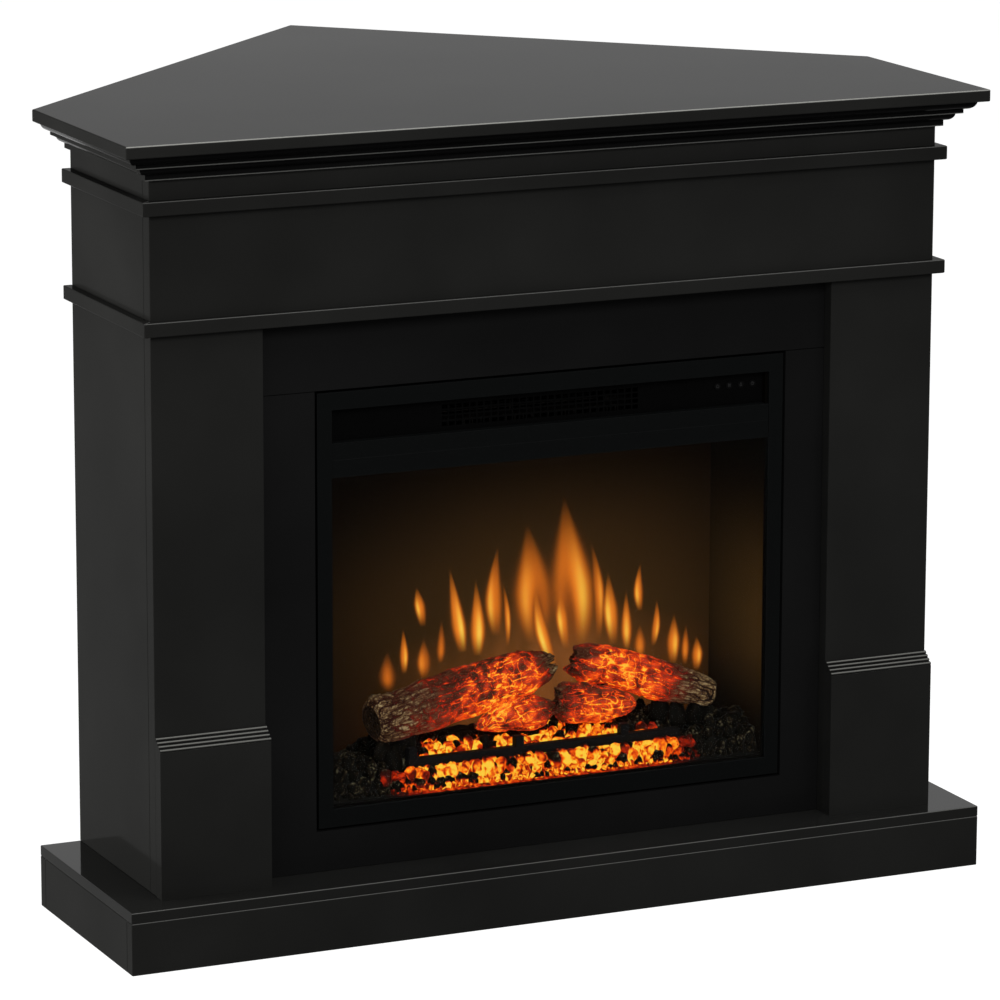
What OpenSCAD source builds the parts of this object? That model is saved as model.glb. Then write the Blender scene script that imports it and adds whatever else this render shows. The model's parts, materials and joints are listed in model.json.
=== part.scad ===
// Corner fireplace: a lacquered corner mantel with a built-in electric fire.
// Millimetres, +Z up. X runs along the front and Y runs back into the room corner.
// The origin is at floor level under the middle of the whole outline.
// Depths are measured back from the front edge of the shelf.

/* [Mantel] */
// Overhang of the shelf at each side of the carcass
shelf_out = 50; // [44:1:70]
// Length of the two short side edges of the shelf, which is also the depth of the carcass
shelf_side = 335; // [325:1:400]
// Thickness of the shelf
shelf_t = 16; // [12:1:25]
// Distance of the pilaster faces behind the front edge of the shelf
front_setback = 56; // [48:1:70]
// Thickness of the carcass boards
board_t = 18; // [15:1:22]
// Thickness of the frieze board and the pilasters
face_board_t = 22; // [20:1:26]
// Height of the board that ties the side panels together under the shelf
rail_board_h = 80; // [60:1:120]
// Length of the gusset under the rear point of the shelf
gusset_len = 460; // [300:1:520]

/* [Crown and bands] */
// Height of each of the two crown steps
crown_step_h = 18; // [16:1:22]
// Projection of the upper crown step
crown_upper_out = 40; // [36:1:44]
// Projection of the lower crown step
crown_lower_out = 19; // [17:1:24]
// Radius of the quarter round on the upper step
crown_upper_r = 12; // [8:1:14]
// Radius of the quarter round on the lower step
crown_lower_r = 10; // [7:1:12]
// Width of the small ledge behind each quarter round
crown_fillet = 1.5; // [1:0.5:3]
// Height of the plain strip between the crown and the upper band
neck_h = 26; // [20:1:34]
// Height of a band
band_h = 18; // [14:1:24]
// Projection of a band
band_out = 12; // [8:1:16]
// Height of the frieze between the bands
frieze_h = 133; // [120:1:145]

/* [Columns] */
// Width of a pilaster and of the block at its foot
pilaster_w = 150; // [135:1:165]
// Height of a base block
block_h = 208; // [180:1:240]
// Projection of a base block
block_t = 18; // [16:1:24]
// Number of beads on top of a base block
bead_count = 4; // [3:1:5]
// Height of one bead
bead_h = 4; // [3:0.5:5]
// Depth of the groove under each bead
bead_groove = 1.2; // [0.8:0.1:1.5]

/* [Plinth] */
// Overhang of the plinth at each side of the carcass
plinth_out = 55; // [40:1:80]
// Height of the plinth
plinth_h = 82; // [70:1:100]
// Thickness of the plinth's top board
plinth_top_t = 14; // [12:1:18]

/* [Recess] */
// Depth of the recessed panels behind the pilaster faces
recess_d = 18; // [16:1:19]
// Height of the panel strip under the insert
sill_h = 54; // [50:1:70]
// Height of the header panel above the insert
header_h = 92; // [70:1:150]
// Width of the panel strip at each side of a centred insert
surround_w = 67; // [50:1:110]
// Gap around the insert
insert_gap = 3; // [2:0.5:4]
// How far the insert sits to the right of the middle
insert_shift = 10; // [0:1:14]

/* [Insert] */
// Height of the insert's bezel
insert_h = 569; // [555:1:580]
// Thickness of the bezel
bezel_t = 6; // [6:0.5:8]
// How far the bezel's folded rim ends in front of the recessed panels' rear faces
bezel_rim_inset = 2; // [1.5:0.5:4]
// Width of the bezel at each side
bezel_side = 20; // [18:1:24]
// Height of the bezel above the outlet slot
bezel_top = 23; // [20:1:28]
// Height of the bezel under the glass
bezel_bottom = 24; // [22:1:28]
// Height of the outlet slot
slot_h = 43; // [40:1:48]
// Depth of the plates in the slot behind the bezel's face
slot_d = 14; // [10:1:18]
// Height of the bar between the slot and the glass
trim_h = 45; // [40:1:50]
// Height of the trim bar's lower lip, which covers the top edge of the glass
trim_lip_h = 12; // [10:1:16]
// Thickness of that lip
trim_lip_t = 1.2; // [1:0.1:1.4]
// Distance of the trim bar's face behind the bezel's face
trim_setback = 0.6; // [0.3:0.1:0.6]
// Distance of the fine groove below the top of the trim bar
trim_groove_z = 22; // [18:1:26]
// Width of that groove
trim_groove_w = 0.8; // [0.6:0.1:1.2]
// Depth of that groove
trim_groove_d = 0.6; // [0.3:0.1:0.8]
// Thickness of the glass
glass_t = 4; // [3:0.5:4]
// How far the casing walls stand inside the bezel's opening, as a seat for the glass
glass_seat = 3; // [2:0.5:4]
// Depth of the trim bar's body behind the bezel
trim_body_d = 15; // [10:1:20]
// Gap between neighbouring front pieces
fit_gap = 0.5; // [0.3:0.1:0.6]

/* [Casing] */
// Thickness of the casing's sheet steel
sheet_t = 1.2; // [1:0.1:2]
// Width of the flanges along the front and rear edges of the casing sheets
flange_w = 12; // [10:1:15]
// Depth of the flame screen behind the bezel
screen_d = 155; // [150:1:165]
// Thickness of the flame screen
screen_t = 3; // [2:0.5:4]
// Depth of the space behind the flame screen
effect_d = 52; // [46:1:70]
// Number of air intake slots in the back sheet
intake_count = 9; // [6:1:10]
// Width of an intake slot
intake_w = 6; // [4:1:8]
// Height of an intake slot
intake_h = 40; // [30:1:50]
// Spacing of the intake slots
intake_pitch = 18; // [12:1:20]

/* [Fire bed] */
// Distance of the ember bed behind the glass
bed_d = 4; // [2:1:8]
// Height of the ember bed at its front edge
bed_front_h = 6; // [4:1:10]
// Height of the level strip that the grate stands on
bed_step_h = 24; // [20:1:28]
// Depth of the rise behind the level strip
bed_rise_d = 6; // [4:1:10]
// Height of the bed at the top of that rise
bed_rise_h = 40; // [34:1:42]
// Height of the ember bed at its rear edge
bed_rear_h = 48; // [44:1:50]
// Depth of the front slope of the bed
bed_slope_d = 18; // [14:1:22]
// Depth of the level strip
bed_step_d = 26; // [24:1:30]
// Wall of the moulded bed
bed_wall = 5; // [4:0.5:5]
// Gap between the bed and the pieces around it
bed_gap = 0.3; // [0.2:0.1:0.5]
// Height of the unlit heaps at both ends
heap_h = 53; // [46:1:60]
// Reach of a heap from the side wall
heap_r = 92; // [80:1:110]
// Radius of a heap at its top
heap_top_r = 18; // [12:1:30]
// Depth of the middle of the heaps behind the glass
heap_d = 40; // [30:1:60]
// Depth of the posts that carry the logs
post_d = 10; // [8:1:12]
// Width of those posts
post_w = 6; // [4:1:8]
// Gap between a log and its posts
log_gap = 0.3; // [0.2:0.1:0.5]

/* [Logs] */
// Large left log, outer end: from the insert's middle, from the glass, above the floor
log_ll_a = [-240, 50, 88]; // [-250:1:250]
// Large left log, inner end, measured the same way
log_ll_b = [43, 95, 130]; // [-250:1:250]
// Small left log, outer end
log_ls_a = [-88, 48, 70]; // [-250:1:250]
// Small left log, inner end
log_ls_b = [27, 70, 82]; // [-250:1:250]
// Large right log, outer end
log_rl_a = [265, 50, 76]; // [-250:1:270]
// Large right log, inner end
log_rl_b = [76, 98, 131]; // [-250:1:250]
// Small right log, outer end
log_rs_a = [146, 50, 65]; // [-250:1:250]
// Small right log, inner end
log_rs_b = [38, 65, 84]; // [-250:1:250]
// Radii of the large left log at its outer and inner end
log_ll_r = [27, 21]; // [15:0.5:32]
// Radii of the small left log
log_ls_r = [16, 17]; // [12:0.5:24]
// Radii of the large right log
log_rl_r = [22, 21]; // [15:0.5:30]
// Radii of the small right log
log_rs_r = [21, 20]; // [12:0.5:26]

/* [Grate] */
// Length of the front bar
grate_len = 392; // [340:1:420]
// How far the bar sits to the right of the insert's middle
grate_shift = 4; // [-10:1:20]
// Depth of the bar behind the glass
grate_d = 24; // [23:1:26]
// Thickness of the bar
grate_bar = 12; // [8:1:14]
// Height of the bar above the level strip of the bed
grate_leg_h = 6; // [4:1:10]
// Distance of the feet from the ends of the bar
grate_foot_in = 32; // [10:1:60]
// Number of uprights
grate_uprights = 3; // [2:1:5]
// Distance of the first upright from the left end of the bar
upright_left = 1; // [0:1:40]
// Distance of the last upright from the right end of the bar
upright_right = 75; // [0:1:90]
// Height of an upright above the bar
upright_h = 14; // [10:1:15]

/* [Flame effect] */
// Radius of the rotor's shaft
rotor_shaft_r = 3; // [2.5:0.5:4]
// Running clearance of a shaft in its bearing, on the radius
running_gap = 0.05; // [0.03:0.01:0.08]
// Height of the rotor's axis above the firebox floor
rotor_z = 39; // [30:1:60]
// Width of a reflector paddle
paddle_w = 26; // [16:1:30]
// Length of a reflector paddle
paddle_len = 34; // [24:1:36]
// Thickness of a reflector paddle
paddle_t = 1; // [0.6:0.1:1.5]
// Gap between neighbouring paddles
paddle_gap = 2; // [1:0.5:5]
// Free length of shaft at each end of the row of paddles
rotor_end = 10; // [6:1:20]
// Number of paddles
paddle_count = 14; // [8:1:15]
// Turn from one paddle to the next, in degrees
paddle_turn = 50; // [30:1:80]
// Width, depth and height of the rotor motor
rotor_motor_size = [32, 36, 36]; // [24:1:44]
// Depth of a shaft in its bearing
bearing_len = 8; // [6:1:9]
// Distance of a shaft's end inside its bearing
shaft_end_gap = 0.5; // [0.3:0.1:1]
// Wall of the bearing boss around the shaft
bearing_wall = 4; // [3:0.5:6]
// Number of lamps on the flame lamp board
led_count = 12; // [6:1:16]
// Height of the flame lamp board
led_board_h = 20; // [14:1:24]
// Thickness of the flame lamp board
led_board_t = 1.6; // [1.2:0.2:2]
// Gap between the lamp board and the flame screen
led_gap = 1; // [0.5:0.5:3]
// Distance of the lamp board from the wall and from the rotor motor
led_in = 20; // [10:1:40]
// Width and height of a lamp
lamp_w = 5; // [3:1:6]
// Thickness of a lamp
lamp_t = 1.5; // [1:0.5:3]
// Distance of the lamps below the top of their board
lamp_down = 3; // [1:1:5]

/* [Heater] */
// Width of the outlet grille plate
grille_w = 445; // [420:1:450]
// Width of the plain plate left of the grille
left_plate_w = 91; // [80:1:100]
// Width of the plate that the controls stand in
control_plate_w = 84; // [80:1:100]
// Thickness of the plates in the slot
plate_t = 2; // [1.5:0.5:3]
// Width of the pierced field of the grille
mesh_w = 280; // [240:1:320]
// Height of the pierced field
mesh_h = 30; // [24:1:34]
// Number of holes across and up
mesh_count = [28, 4]; // [3:1:30]
// Distance of the pierced field from the left end of its plate
mesh_left = 67; // [50:1:80]
// Width of the web between two holes
mesh_web = 2; // [1.5:0.5:3]
// Outer radius of the blower wheel
wheel_r = 23; // [18:1:25]
// Length of the blower wheel
wheel_len = 250; // [200:1:270]
// Depth of a wheel blade, from its outer to its inner edge
blade_d = 5; // [3:1:7]
// Thickness of a wheel blade
blade_t = 1; // [0.6:0.1:1.5]
// Distance of the blades inside the wheel's rim
blade_in = 1; // [0.5:0.5:2]
// Number of wheel blades
blade_count = 20; // [12:1:24]
// Distance of the wheel from the left end of the slot
wheel_left = 156; // [120:1:180]
// Gap between the wheel and its housing
wheel_gap = 6; // [4:1:7]
// Thickness of a wheel disc
disc_t = 3; // [2:0.5:4]
// Depth of the blower's axis behind the bezel
blower_d = 88; // [80:1:100]
// Radius of the blower motor
blower_motor_r = 22; // [18:1:25]
// Length of the blower motor
blower_motor_len = 42; // [30:1:60]
// Distance of the motor's cradle from both ends of the motor
cradle_in = 5; // [3:1:10]
// Half depth of the motor's cradle
cradle_half_d = 15; // [12:1:16]
// Width, depth and height of the heating element
element_size = [276, 24, 44]; // [20:1:300]
// Distance of the heating element behind the bezel
element_d = 24; // [18:1:28]
// Thickness of a fin
fin_t = 1; // [0.6:0.1:1.5]
// Thickness of the rails above and below the fins
fin_rail_t = 2; // [1.5:0.5:3]
// Number of fins on the heating element
fin_count = 24; // [12:1:30]
// Thickness of the blower housing
housing_t = 1.5; // [1:0.5:2]
// Gap between the wheel and the housing at the rear
housing_rear_gap = 4.5; // [3:0.5:8]
// How far the housing's ends reach above the wheel
housing_top = 3; // [2:1:8]
// How far the housing's floor and ends reach in front of the wheel
housing_front = 5; // [3:1:10]
// Clearance of the shaft where it passes through the housing, on the radius
shaft_hole_gap = 1; // [0.5:0.5:3]

/* [Controls] */
// Radius of each of the four buttons
button_r = 5; // [4:0.5:6]
// Spacing of the buttons
button_pitch = 17; // [15:1:18]
// Height of the buttons above the middle of the slot
button_up = 5; // [0:1:8]
// How far a button stands proud of its plate
button_proud = 1; // [0.9:0.1:2]
// Travel of a button
button_travel = 0.8; // [0.5:0.1:1]
// Clearance of a button in its hole, on the radius
button_gap = 0.3; // [0.2:0.1:0.4]
// Width of the collar that keeps a button in its hole
button_collar = 1.5; // [1:0.5:2]
// Thickness of that collar
collar_t = 1.2; // [1:0.1:1.5]
// Distance of the control board behind its plate
control_gap = 6; // [5:0.5:8]
// Height of the control board
control_board_h = 24; // [20:1:26]
// Distance of the control board from both ends of its plate
control_end = 1; // [0.5:0.5:2]
// Width of the posts that carry the control board
control_post_w = 4; // [3:0.5:5]
// Gap between a pressed button and the control board
button_end_gap = 0.2; // [0.1:0.1:0.5]
// Thickness of the control board
control_board_t = 1.6; // [1.2:0.2:2]

/* [Power inlet] */
// Radius of the cord hole in the gland
cord_r = 3.6; // [3:0.1:4.5]
// Radius of the gland's thread
gland_thread_r = 8; // [7:0.5:10]
// Width across the flats of the gland's nut
gland_flats = 22; // [20:1:26]
// Thickness of the gland's nuts
gland_nut_h = 5; // [4:0.5:7]
// Length of thread that shows inside the nut
gland_thread_end = 3; // [1:0.5:6]
// Radius of the gland's barrel outside
gland_barrel_r = 10; // [8:0.5:10]
// Clearance of the gland in its hole, on the radius
gland_gap = 0.1; // [0.1:0.05:0.3]
// Length of the gland outside the back sheet
gland_out = 20; // [14:1:26]
// Distance of the gland left of the right inner wall
gland_in = 60; // [40:1:90]

/* [Fasteners] */
// Number of screws that hold the insert down
screw_count = 3; // [2:1:5]
// Radius of a screw's shank
screw_r = 2; // [1.5:0.25:2.5]
// Length of a screw below its head
screw_len = 26; // [18:1:28]
// Radius of a screw's head
screw_head_r = 4; // [3.5:0.5:5]
// Height of a screw's head
screw_head_h = 2.2; // [1.5:0.1:3]
// Clearance of a screw in the casing floor, on the radius
screw_gap = 0.3; // [0.2:0.1:0.5]
// Distance of the screws from the rear edge of the casing
screw_in = 12; // [10:1:16]

/* [Hidden] */
$fn = 64;

// How far a cut runs past the faces it opens
cut = 1;

lacquer = [0.11, 0.11, 0.108];
satin_black = [0.06, 0.06, 0.06];
steel = [0.62, 0.63, 0.65];
board_green = [0.05, 0.3, 0.12];
bark = [0.34, 0.22, 0.14];
resin = [0.85, 0.33, 0.08];

// Widths, outwards from the plates in the insert's slot
insert_w = left_plate_w + grille_w + control_plate_w + 2 * bezel_side;
carcass_w = insert_w + 2 * (insert_gap + surround_w + pilaster_w);
shelf_w = carcass_w + 2 * shelf_out;
plinth_w = carcass_w + 2 * plinth_out;

// The front edge of the shelf, from the middle of the outline
front_y = -(shelf_side + shelf_w / 2) / 2;

// Heights of the mantel's boards, upwards from the plinth
opening_z = plinth_h + sill_h;
opening_h = insert_h + 2 * insert_gap;
lower_band_z = opening_z + opening_h + header_h;
upper_band_z = lower_band_z + band_h + frieze_h;
crown_z = upper_band_z + band_h + neck_h;
under_shelf_z = crown_z + 2 * crown_step_h;
mantel_h = under_shelf_z + shelf_t;

// Depths of the mantel's boards
face_rear = front_setback + face_board_t;
panel_front = front_setback + recess_d;
panel_rear = panel_front + board_t;
side_inner = carcass_w / 2 - board_t;
recess_x = carcass_w / 2 - pilaster_w;

// Edges of the bezel and of its opening
bezel_x0 = insert_shift - insert_w / 2;
bezel_x1 = insert_shift + insert_w / 2;
bezel_z0 = opening_z + insert_gap;
bezel_z1 = bezel_z0 + insert_h;
view_x0 = bezel_x0 + bezel_side;
view_x1 = bezel_x1 - bezel_side;
view_z0 = bezel_z0 + bezel_bottom;
view_z1 = bezel_z1 - bezel_top;

// Casing and firebox
case_y0 = panel_front + bezel_t;
screen_y = case_y0 + screen_d;
case_y1 = screen_y + screen_t + effect_d;
fire_x0 = view_x0 + glass_seat;
fire_x1 = view_x1 - glass_seat;
floor_z = view_z0 + glass_seat;
ceiling_z = view_z1;
trim_z1 = view_z1 - slot_h;
trim_z0 = trim_z1 - trim_h;
shelf_z1 = trim_z0 + trim_lip_h;
trim_rear = case_y0 + trim_body_d;
plate_y = panel_front + slot_d;
mesh_x = view_x0 + left_plate_w + mesh_left;

// Fire bed
bed_front_y = case_y0 + bed_d;
bed_step_y = bed_front_y + bed_slope_d;
bed_step_z = floor_z + bed_step_h;
bed_x0 = fire_x0 + bed_gap;
bed_x1 = fire_x1 - bed_gap;
bed_y1 = screen_y - bed_gap;

// Flame effect
rotor_y = (screen_y + screen_t + case_y1) / 2;
rotor_axis_z = floor_z + rotor_z;
rotor_motor_x = fire_x1 - rotor_motor_size.x;

// Heater
blower_y = case_y0 + blower_d;
blower_z = (shelf_z1 + ceiling_z) / 2;
blower_x0 = view_x0 + wheel_left;
wheel_x1 = blower_x0 + wheel_len;
housing_x0 = blower_x0 - wheel_gap;
housing_x1 = wheel_x1 + wheel_gap;
element_y = case_y0 + element_d;

// Controls
panel_x0 = view_x0 + left_plate_w + grille_w;
panel_x1 = fire_x1;
button_z = (trim_z1 + view_z1) / 2 + button_up;
buttons_x = (panel_x0 + panel_x1) / 2;
board_y = plate_y + plate_t + control_gap;

// Power inlet
gland_x = fire_x1 - gland_in;
gland_z = blower_z;

// Moves a piece drawn from the shelf's front edge into the part's frame
module at_front() {
    translate([0, front_y, 0]) children();
}

// A box between two corners
module box(low, high) {
    translate(low) cube(high - low);
}

// Draws a right-hand piece, or its left-hand twin
module handed(side) {
    mirror([side == "left" ? 1 : 0, 0, 0]) children();
}

// Sweeps an outline across the front: outwards is the outline's first axis, up its second.
// Both ends are mitred around the carcass.
module front_run(out) {
    half = carcass_w / 2;
    intersection() {
        translate([-half - out, front_setback, 0])
            mirror([0, 1, 0])
                rotate([90, 0, 90])
                    linear_extrude(carcass_w + 2 * out) children();
        linear_extrude(mantel_h)
            polygon([
                [-half - out, front_setback - out],
                [half + out, front_setback - out],
                [half, front_setback],
                [-half, front_setback]
            ]);
    }
}

// Sweeps an outline back along the right side panel, mitred at its front end
module side_run(out) {
    half = carcass_w / 2;
    intersection() {
        translate([half, shelf_side, 0])
            rotate([90, 0, 0])
                linear_extrude(shelf_side - front_setback + out) children();
        linear_extrude(mantel_h)
            polygon([
                [half, front_setback],
                [half + out, front_setback - out],
                [half + out, shelf_side],
                [half, shelf_side]
            ]);
    }
}

// One crown step that hangs from a level: a quarter round in front of a small ledge
module crown_step(top, out, r) {
    translate([0, top - crown_step_h]) square([out - r - crown_fillet, crown_step_h]);
    translate([0, top - r]) square([out - r, r]);
    intersection() {
        translate([out - r, top]) circle(r);
        translate([out - r - 1, top - r]) square([r + 1, r]);
    }
}

module crown_outline() {
    crown_step(under_shelf_z, crown_upper_out, crown_upper_r);
    crown_step(under_shelf_z - crown_step_h, crown_lower_out, crown_lower_r);
}

module band_outline(z) {
    translate([0, z]) square([band_out, band_h]);
}

// Outline of a base block: plain below, small beads that step out as they go down
module block_outline() {
    r = bead_h / 2;
    translate([0, plinth_h]) square([block_t, block_h - bead_count * bead_h]);
    for (i = [0 : bead_count - 1]) {
        out = block_t * (i + 1) / bead_count;
        top = plinth_h + block_h - i * bead_h;
        translate([0, plinth_h]) square([out - bead_groove, top - plinth_h]);
        translate([out - r, top - r]) circle(r);
    }
}

module top_shelf() {
    color(lacquer) at_front()
        translate([0, 0, under_shelf_z])
            linear_extrude(shelf_t)
                polygon([
                    [-shelf_w / 2, 0],
                    [shelf_w / 2, 0],
                    [shelf_w / 2, shelf_side],
                    [0, shelf_side + shelf_w / 2],
                    [-shelf_w / 2, shelf_side]
                ]);
}

module crown_front() {
    color(lacquer) at_front() front_run(crown_upper_out) crown_outline();
}

module crown_side(side) {
    color(lacquer) at_front() handed(side) side_run(crown_upper_out) crown_outline();
}

module band_front(z) {
    color(lacquer) at_front() front_run(band_out) band_outline(z);
}

module band_side(side, z) {
    color(lacquer) at_front() handed(side) side_run(band_out) band_outline(z);
}

module frieze_board() {
    color(lacquer) at_front()
        box([-carcass_w / 2, front_setback, lower_band_z], [carcass_w / 2, face_rear, under_shelf_z]);
}

module side_panel(side) {
    color(lacquer) at_front() handed(side)
        box([side_inner, face_rear, plinth_h], [carcass_w / 2, shelf_side, under_shelf_z]);
}

module pilaster(side) {
    color(lacquer) at_front() handed(side)
        box([recess_x, front_setback, plinth_h], [carcass_w / 2, face_rear, lower_band_z]);
}

module base_block(side) {
    color(lacquer) at_front() handed(side)
        translate([recess_x, front_setback, 0])
            mirror([0, 1, 0])
                rotate([90, 0, 90])
                    linear_extrude(pilaster_w) block_outline();
}

module header_panel() {
    color(lacquer) at_front()
        box([-recess_x, panel_front, opening_z + opening_h], [recess_x, panel_rear, lower_band_z]);
}

module surround_panel() {
    color(lacquer) at_front()
        difference() {
            box([-recess_x, panel_front, plinth_h], [recess_x, panel_rear, opening_z + opening_h]);
            box(
                [bezel_x0 - insert_gap, panel_front - cut, opening_z],
                [bezel_x1 + insert_gap, panel_rear + cut, opening_z + opening_h + cut]
            );
        }
}

module plinth_top() {
    color(lacquer) at_front()
        box([-plinth_w / 2, 0, plinth_h - plinth_top_t], [plinth_w / 2, shelf_side, plinth_h]);
}

module plinth_front() {
    color(lacquer) at_front()
        box([-plinth_w / 2, 0, 0], [plinth_w / 2, board_t, plinth_h - plinth_top_t]);
}

module plinth_end(side) {
    color(lacquer) at_front() handed(side)
        box(
            [plinth_w / 2 - board_t, board_t, 0],
            [plinth_w / 2, shelf_side - board_t, plinth_h - plinth_top_t]
        );
}

module plinth_rear() {
    color(lacquer) at_front()
        box([-plinth_w / 2, shelf_side - board_t, 0], [plinth_w / 2, shelf_side, plinth_h - plinth_top_t]);
}

module rear_rail() {
    color(lacquer) at_front()
        box(
            [-side_inner, shelf_side - board_t, under_shelf_z - rail_board_h],
            [side_inner, shelf_side, under_shelf_z]
        );
}

// A tapered rib under the rear point of the shelf
module shelf_gusset() {
    tip_h = board_t;
    color(lacquer) at_front()
        translate([-board_t / 2, shelf_side, under_shelf_z])
            rotate([90, 0, 90])
                linear_extrude(board_t)
                    polygon([[0, 0], [gusset_len, 0], [gusset_len, -tip_h], [0, -rail_board_h]]);
}

// The board that the insert stands on, drilled for the mounting screws
module hearth_board() {
    color(lacquer) at_front()
        difference() {
            box(
                [-side_inner, panel_rear, floor_z - flange_w - board_t],
                [side_inner, shelf_side, floor_z - flange_w]
            );
            at_screws() translate([0, 0, -screw_len]) cylinder(h = screw_len, r = screw_r);
        }
}

// The flat frame with a thin rim folded back from its outer edge
module bezel() {
    rim_y1 = panel_rear - bezel_rim_inset;
    color(satin_black) at_front()
        difference() {
            box([bezel_x0, panel_front, bezel_z0], [bezel_x1, rim_y1, bezel_z1]);
            box([view_x0, panel_front - cut, view_z0], [view_x1, rim_y1, view_z1]);
            box(
                [bezel_x0 + sheet_t, case_y0, bezel_z0 + sheet_t],
                [bezel_x1 - sheet_t, rim_y1 + cut, bezel_z1 - sheet_t]
            );
        }
}

// The bar between the slot and the glass: a body with a thin lip over the glass
module trim_strip() {
    front = panel_front + trim_setback;
    x0 = view_x0 + fit_gap;
    x1 = view_x1 - fit_gap;
    color(satin_black) at_front()
        difference() {
            union() {
                box([x0, front, trim_z0], [x1, front + trim_lip_t, trim_z1]);
                box([x0, front, shelf_z1], [x1, case_y0, trim_z1]);
                box([fire_x0, front, shelf_z1], [fire_x1, trim_rear, trim_z1]);
            }
            translate([x0 - cut, front + trim_groove_d - cut, trim_z1 - trim_groove_z])
                cube([x1 - x0 + 2 * cut, cut, trim_groove_w]);
        }
}

module glass_pane() {
    color([0.75, 0.8, 0.82, 0.3]) at_front()
        box(
            [view_x0 + fit_gap, case_y0 - glass_t, view_z0 + fit_gap],
            [view_x1 - fit_gap, case_y0, shelf_z1 - fit_gap]
        );
}

module left_fascia() {
    color(satin_black) at_front()
        box([fire_x0, plate_y, trim_z1], [view_x0 + left_plate_w, plate_y + plate_t, ceiling_z]);
}

// The plate with the pierced outlet field
module outlet_grille() {
    x0 = view_x0 + left_plate_w;
    pitch = [mesh_w / mesh_count.x, mesh_h / mesh_count.y];
    mesh_z = (trim_z1 + ceiling_z - mesh_h) / 2;
    color(satin_black) at_front()
        difference() {
            box([x0, plate_y, trim_z1], [x0 + grille_w, plate_y + plate_t, ceiling_z]);
            for (i = [0 : mesh_count.x - 1], k = [0 : mesh_count.y - 1])
                translate([mesh_x + i * pitch.x, plate_y - cut, mesh_z + k * pitch.y])
                    cube([pitch.x - mesh_web, plate_t + 2 * cut, pitch.y - mesh_web]);
        }
}

// Centre of a button, counted from the left
function button_x(i) = buttons_x + (i - 1.5) * button_pitch;

module control_panel() {
    color(satin_black) at_front()
        difference() {
            box([panel_x0, plate_y, trim_z1], [panel_x1, plate_y + plate_t, ceiling_z]);
            for (i = [0 : 3])
                translate([button_x(i), plate_y - cut, button_z])
                    rotate([-90, 0, 0]) cylinder(h = plate_t + 2 * cut, r = button_r + button_gap);
        }
}

// A push button: its cap passes through the plate and a collar behind keeps it in
module button(i) {
    collar_y = plate_y + plate_t + button_gap;
    rear = board_y - button_travel - button_end_gap;
    color([0.1, 0.1, 0.1]) at_front()
        translate([button_x(i), 0, button_z]) {
            translate([0, plate_y - button_proud, 0])
                rotate([-90, 0, 0]) cylinder(h = rear - plate_y + button_proud, r = button_r);
            translate([0, collar_y, 0])
                rotate([-90, 0, 0]) cylinder(h = collar_t, r = button_r + button_collar);
        }
}

// The circuit board behind the buttons, on two posts
module control_board() {
    x0 = panel_x0 + control_end;
    x1 = panel_x1 - control_end;
    z0 = button_z - control_board_h / 2;
    color(board_green) at_front() {
        box([x0, board_y, z0], [x1, board_y + control_board_t, z0 + control_board_h]);
        for (x = [x0, x1 - control_post_w])
            box([x, plate_y + plate_t, z0], [x + control_post_w, board_y, z0 + control_post_w]);
    }
}

// A folded sheet across the casing: a level web and a flange at the front and rear.
// The web's outer face lies at web_z and the flanges reach from there by reach, up or down.
module deck(web_z, reach) {
    web = sign(reach) * sheet_t;
    box([fire_x0, case_y0, min(web_z, web_z + web)], [fire_x1, case_y1, max(web_z, web_z + web)]);
    for (y = [case_y0, case_y1 - sheet_t])
        box([fire_x0, y, min(web_z, web_z + reach)], [fire_x1, y + sheet_t, max(web_z, web_z + reach)]);
}

// A folded side sheet, drawn for the right-hand side of the casing
module side_sheet() {
    z0 = floor_z - flange_w;
    z1 = ceiling_z + flange_w;
    box([fire_x1, case_y0, z0], [fire_x1 + sheet_t, case_y1, z1]);
    for (y = [case_y0, case_y1 - sheet_t])
        box([fire_x1, y, z0], [fire_x1 + flange_w, y + sheet_t, z1]);
}

module case_top() {
    color(satin_black) at_front() deck(ceiling_z, flange_w);
}

module case_bottom() {
    color(satin_black) at_front()
        difference() {
            deck(floor_z, -flange_w);
            at_screws()
                translate([0, 0, -sheet_t - cut]) cylinder(h = sheet_t + 2 * cut, r = screw_r + screw_gap);
        }
}

// The left side sheet, with a bearing for the plain end of the rotor's shaft
module case_left() {
    color(satin_black) at_front()
        difference() {
            union() {
                translate([insert_shift, 0, 0])
                    mirror([1, 0, 0])
                        translate([-insert_shift, 0, 0]) side_sheet();
                translate([fire_x0 - bearing_len, rotor_y, rotor_axis_z])
                    rotate([0, 90, 0]) cylinder(h = bearing_len, r = rotor_shaft_r + bearing_wall);
            }
            translate([fire_x0 - bearing_len - cut, rotor_y, rotor_axis_z])
                rotate([0, 90, 0]) cylinder(h = bearing_len + 2 * cut, r = rotor_shaft_r + running_gap);
        }
}

module case_right() {
    color(satin_black) at_front() side_sheet();
}

// The back sheet with the air intake and the hole for the cord gland
module case_back() {
    intake_x = (fire_x0 + fire_x1) / 2;
    color(steel) at_front()
        difference() {
            box(
                [fire_x0 - flange_w, case_y1, floor_z - flange_w],
                [fire_x1 + flange_w, case_y1 + sheet_t, ceiling_z + flange_w]
            );
            for (i = [0 : intake_count - 1])
                translate([
                    intake_x + (i - (intake_count - 1) / 2) * intake_pitch - intake_w / 2,
                    case_y1 - cut,
                    blower_z - intake_h / 2
                ])
                    cube([intake_w, sheet_t + 2 * cut, intake_h]);
            translate([gland_x, case_y1 - cut, gland_z])
                rotate([-90, 0, 0]) cylinder(h = sheet_t + 2 * cut, r = gland_thread_r + gland_gap);
        }
}

module heater_shelf() {
    color(satin_black) at_front() deck(shelf_z1, -flange_w);
}

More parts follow.
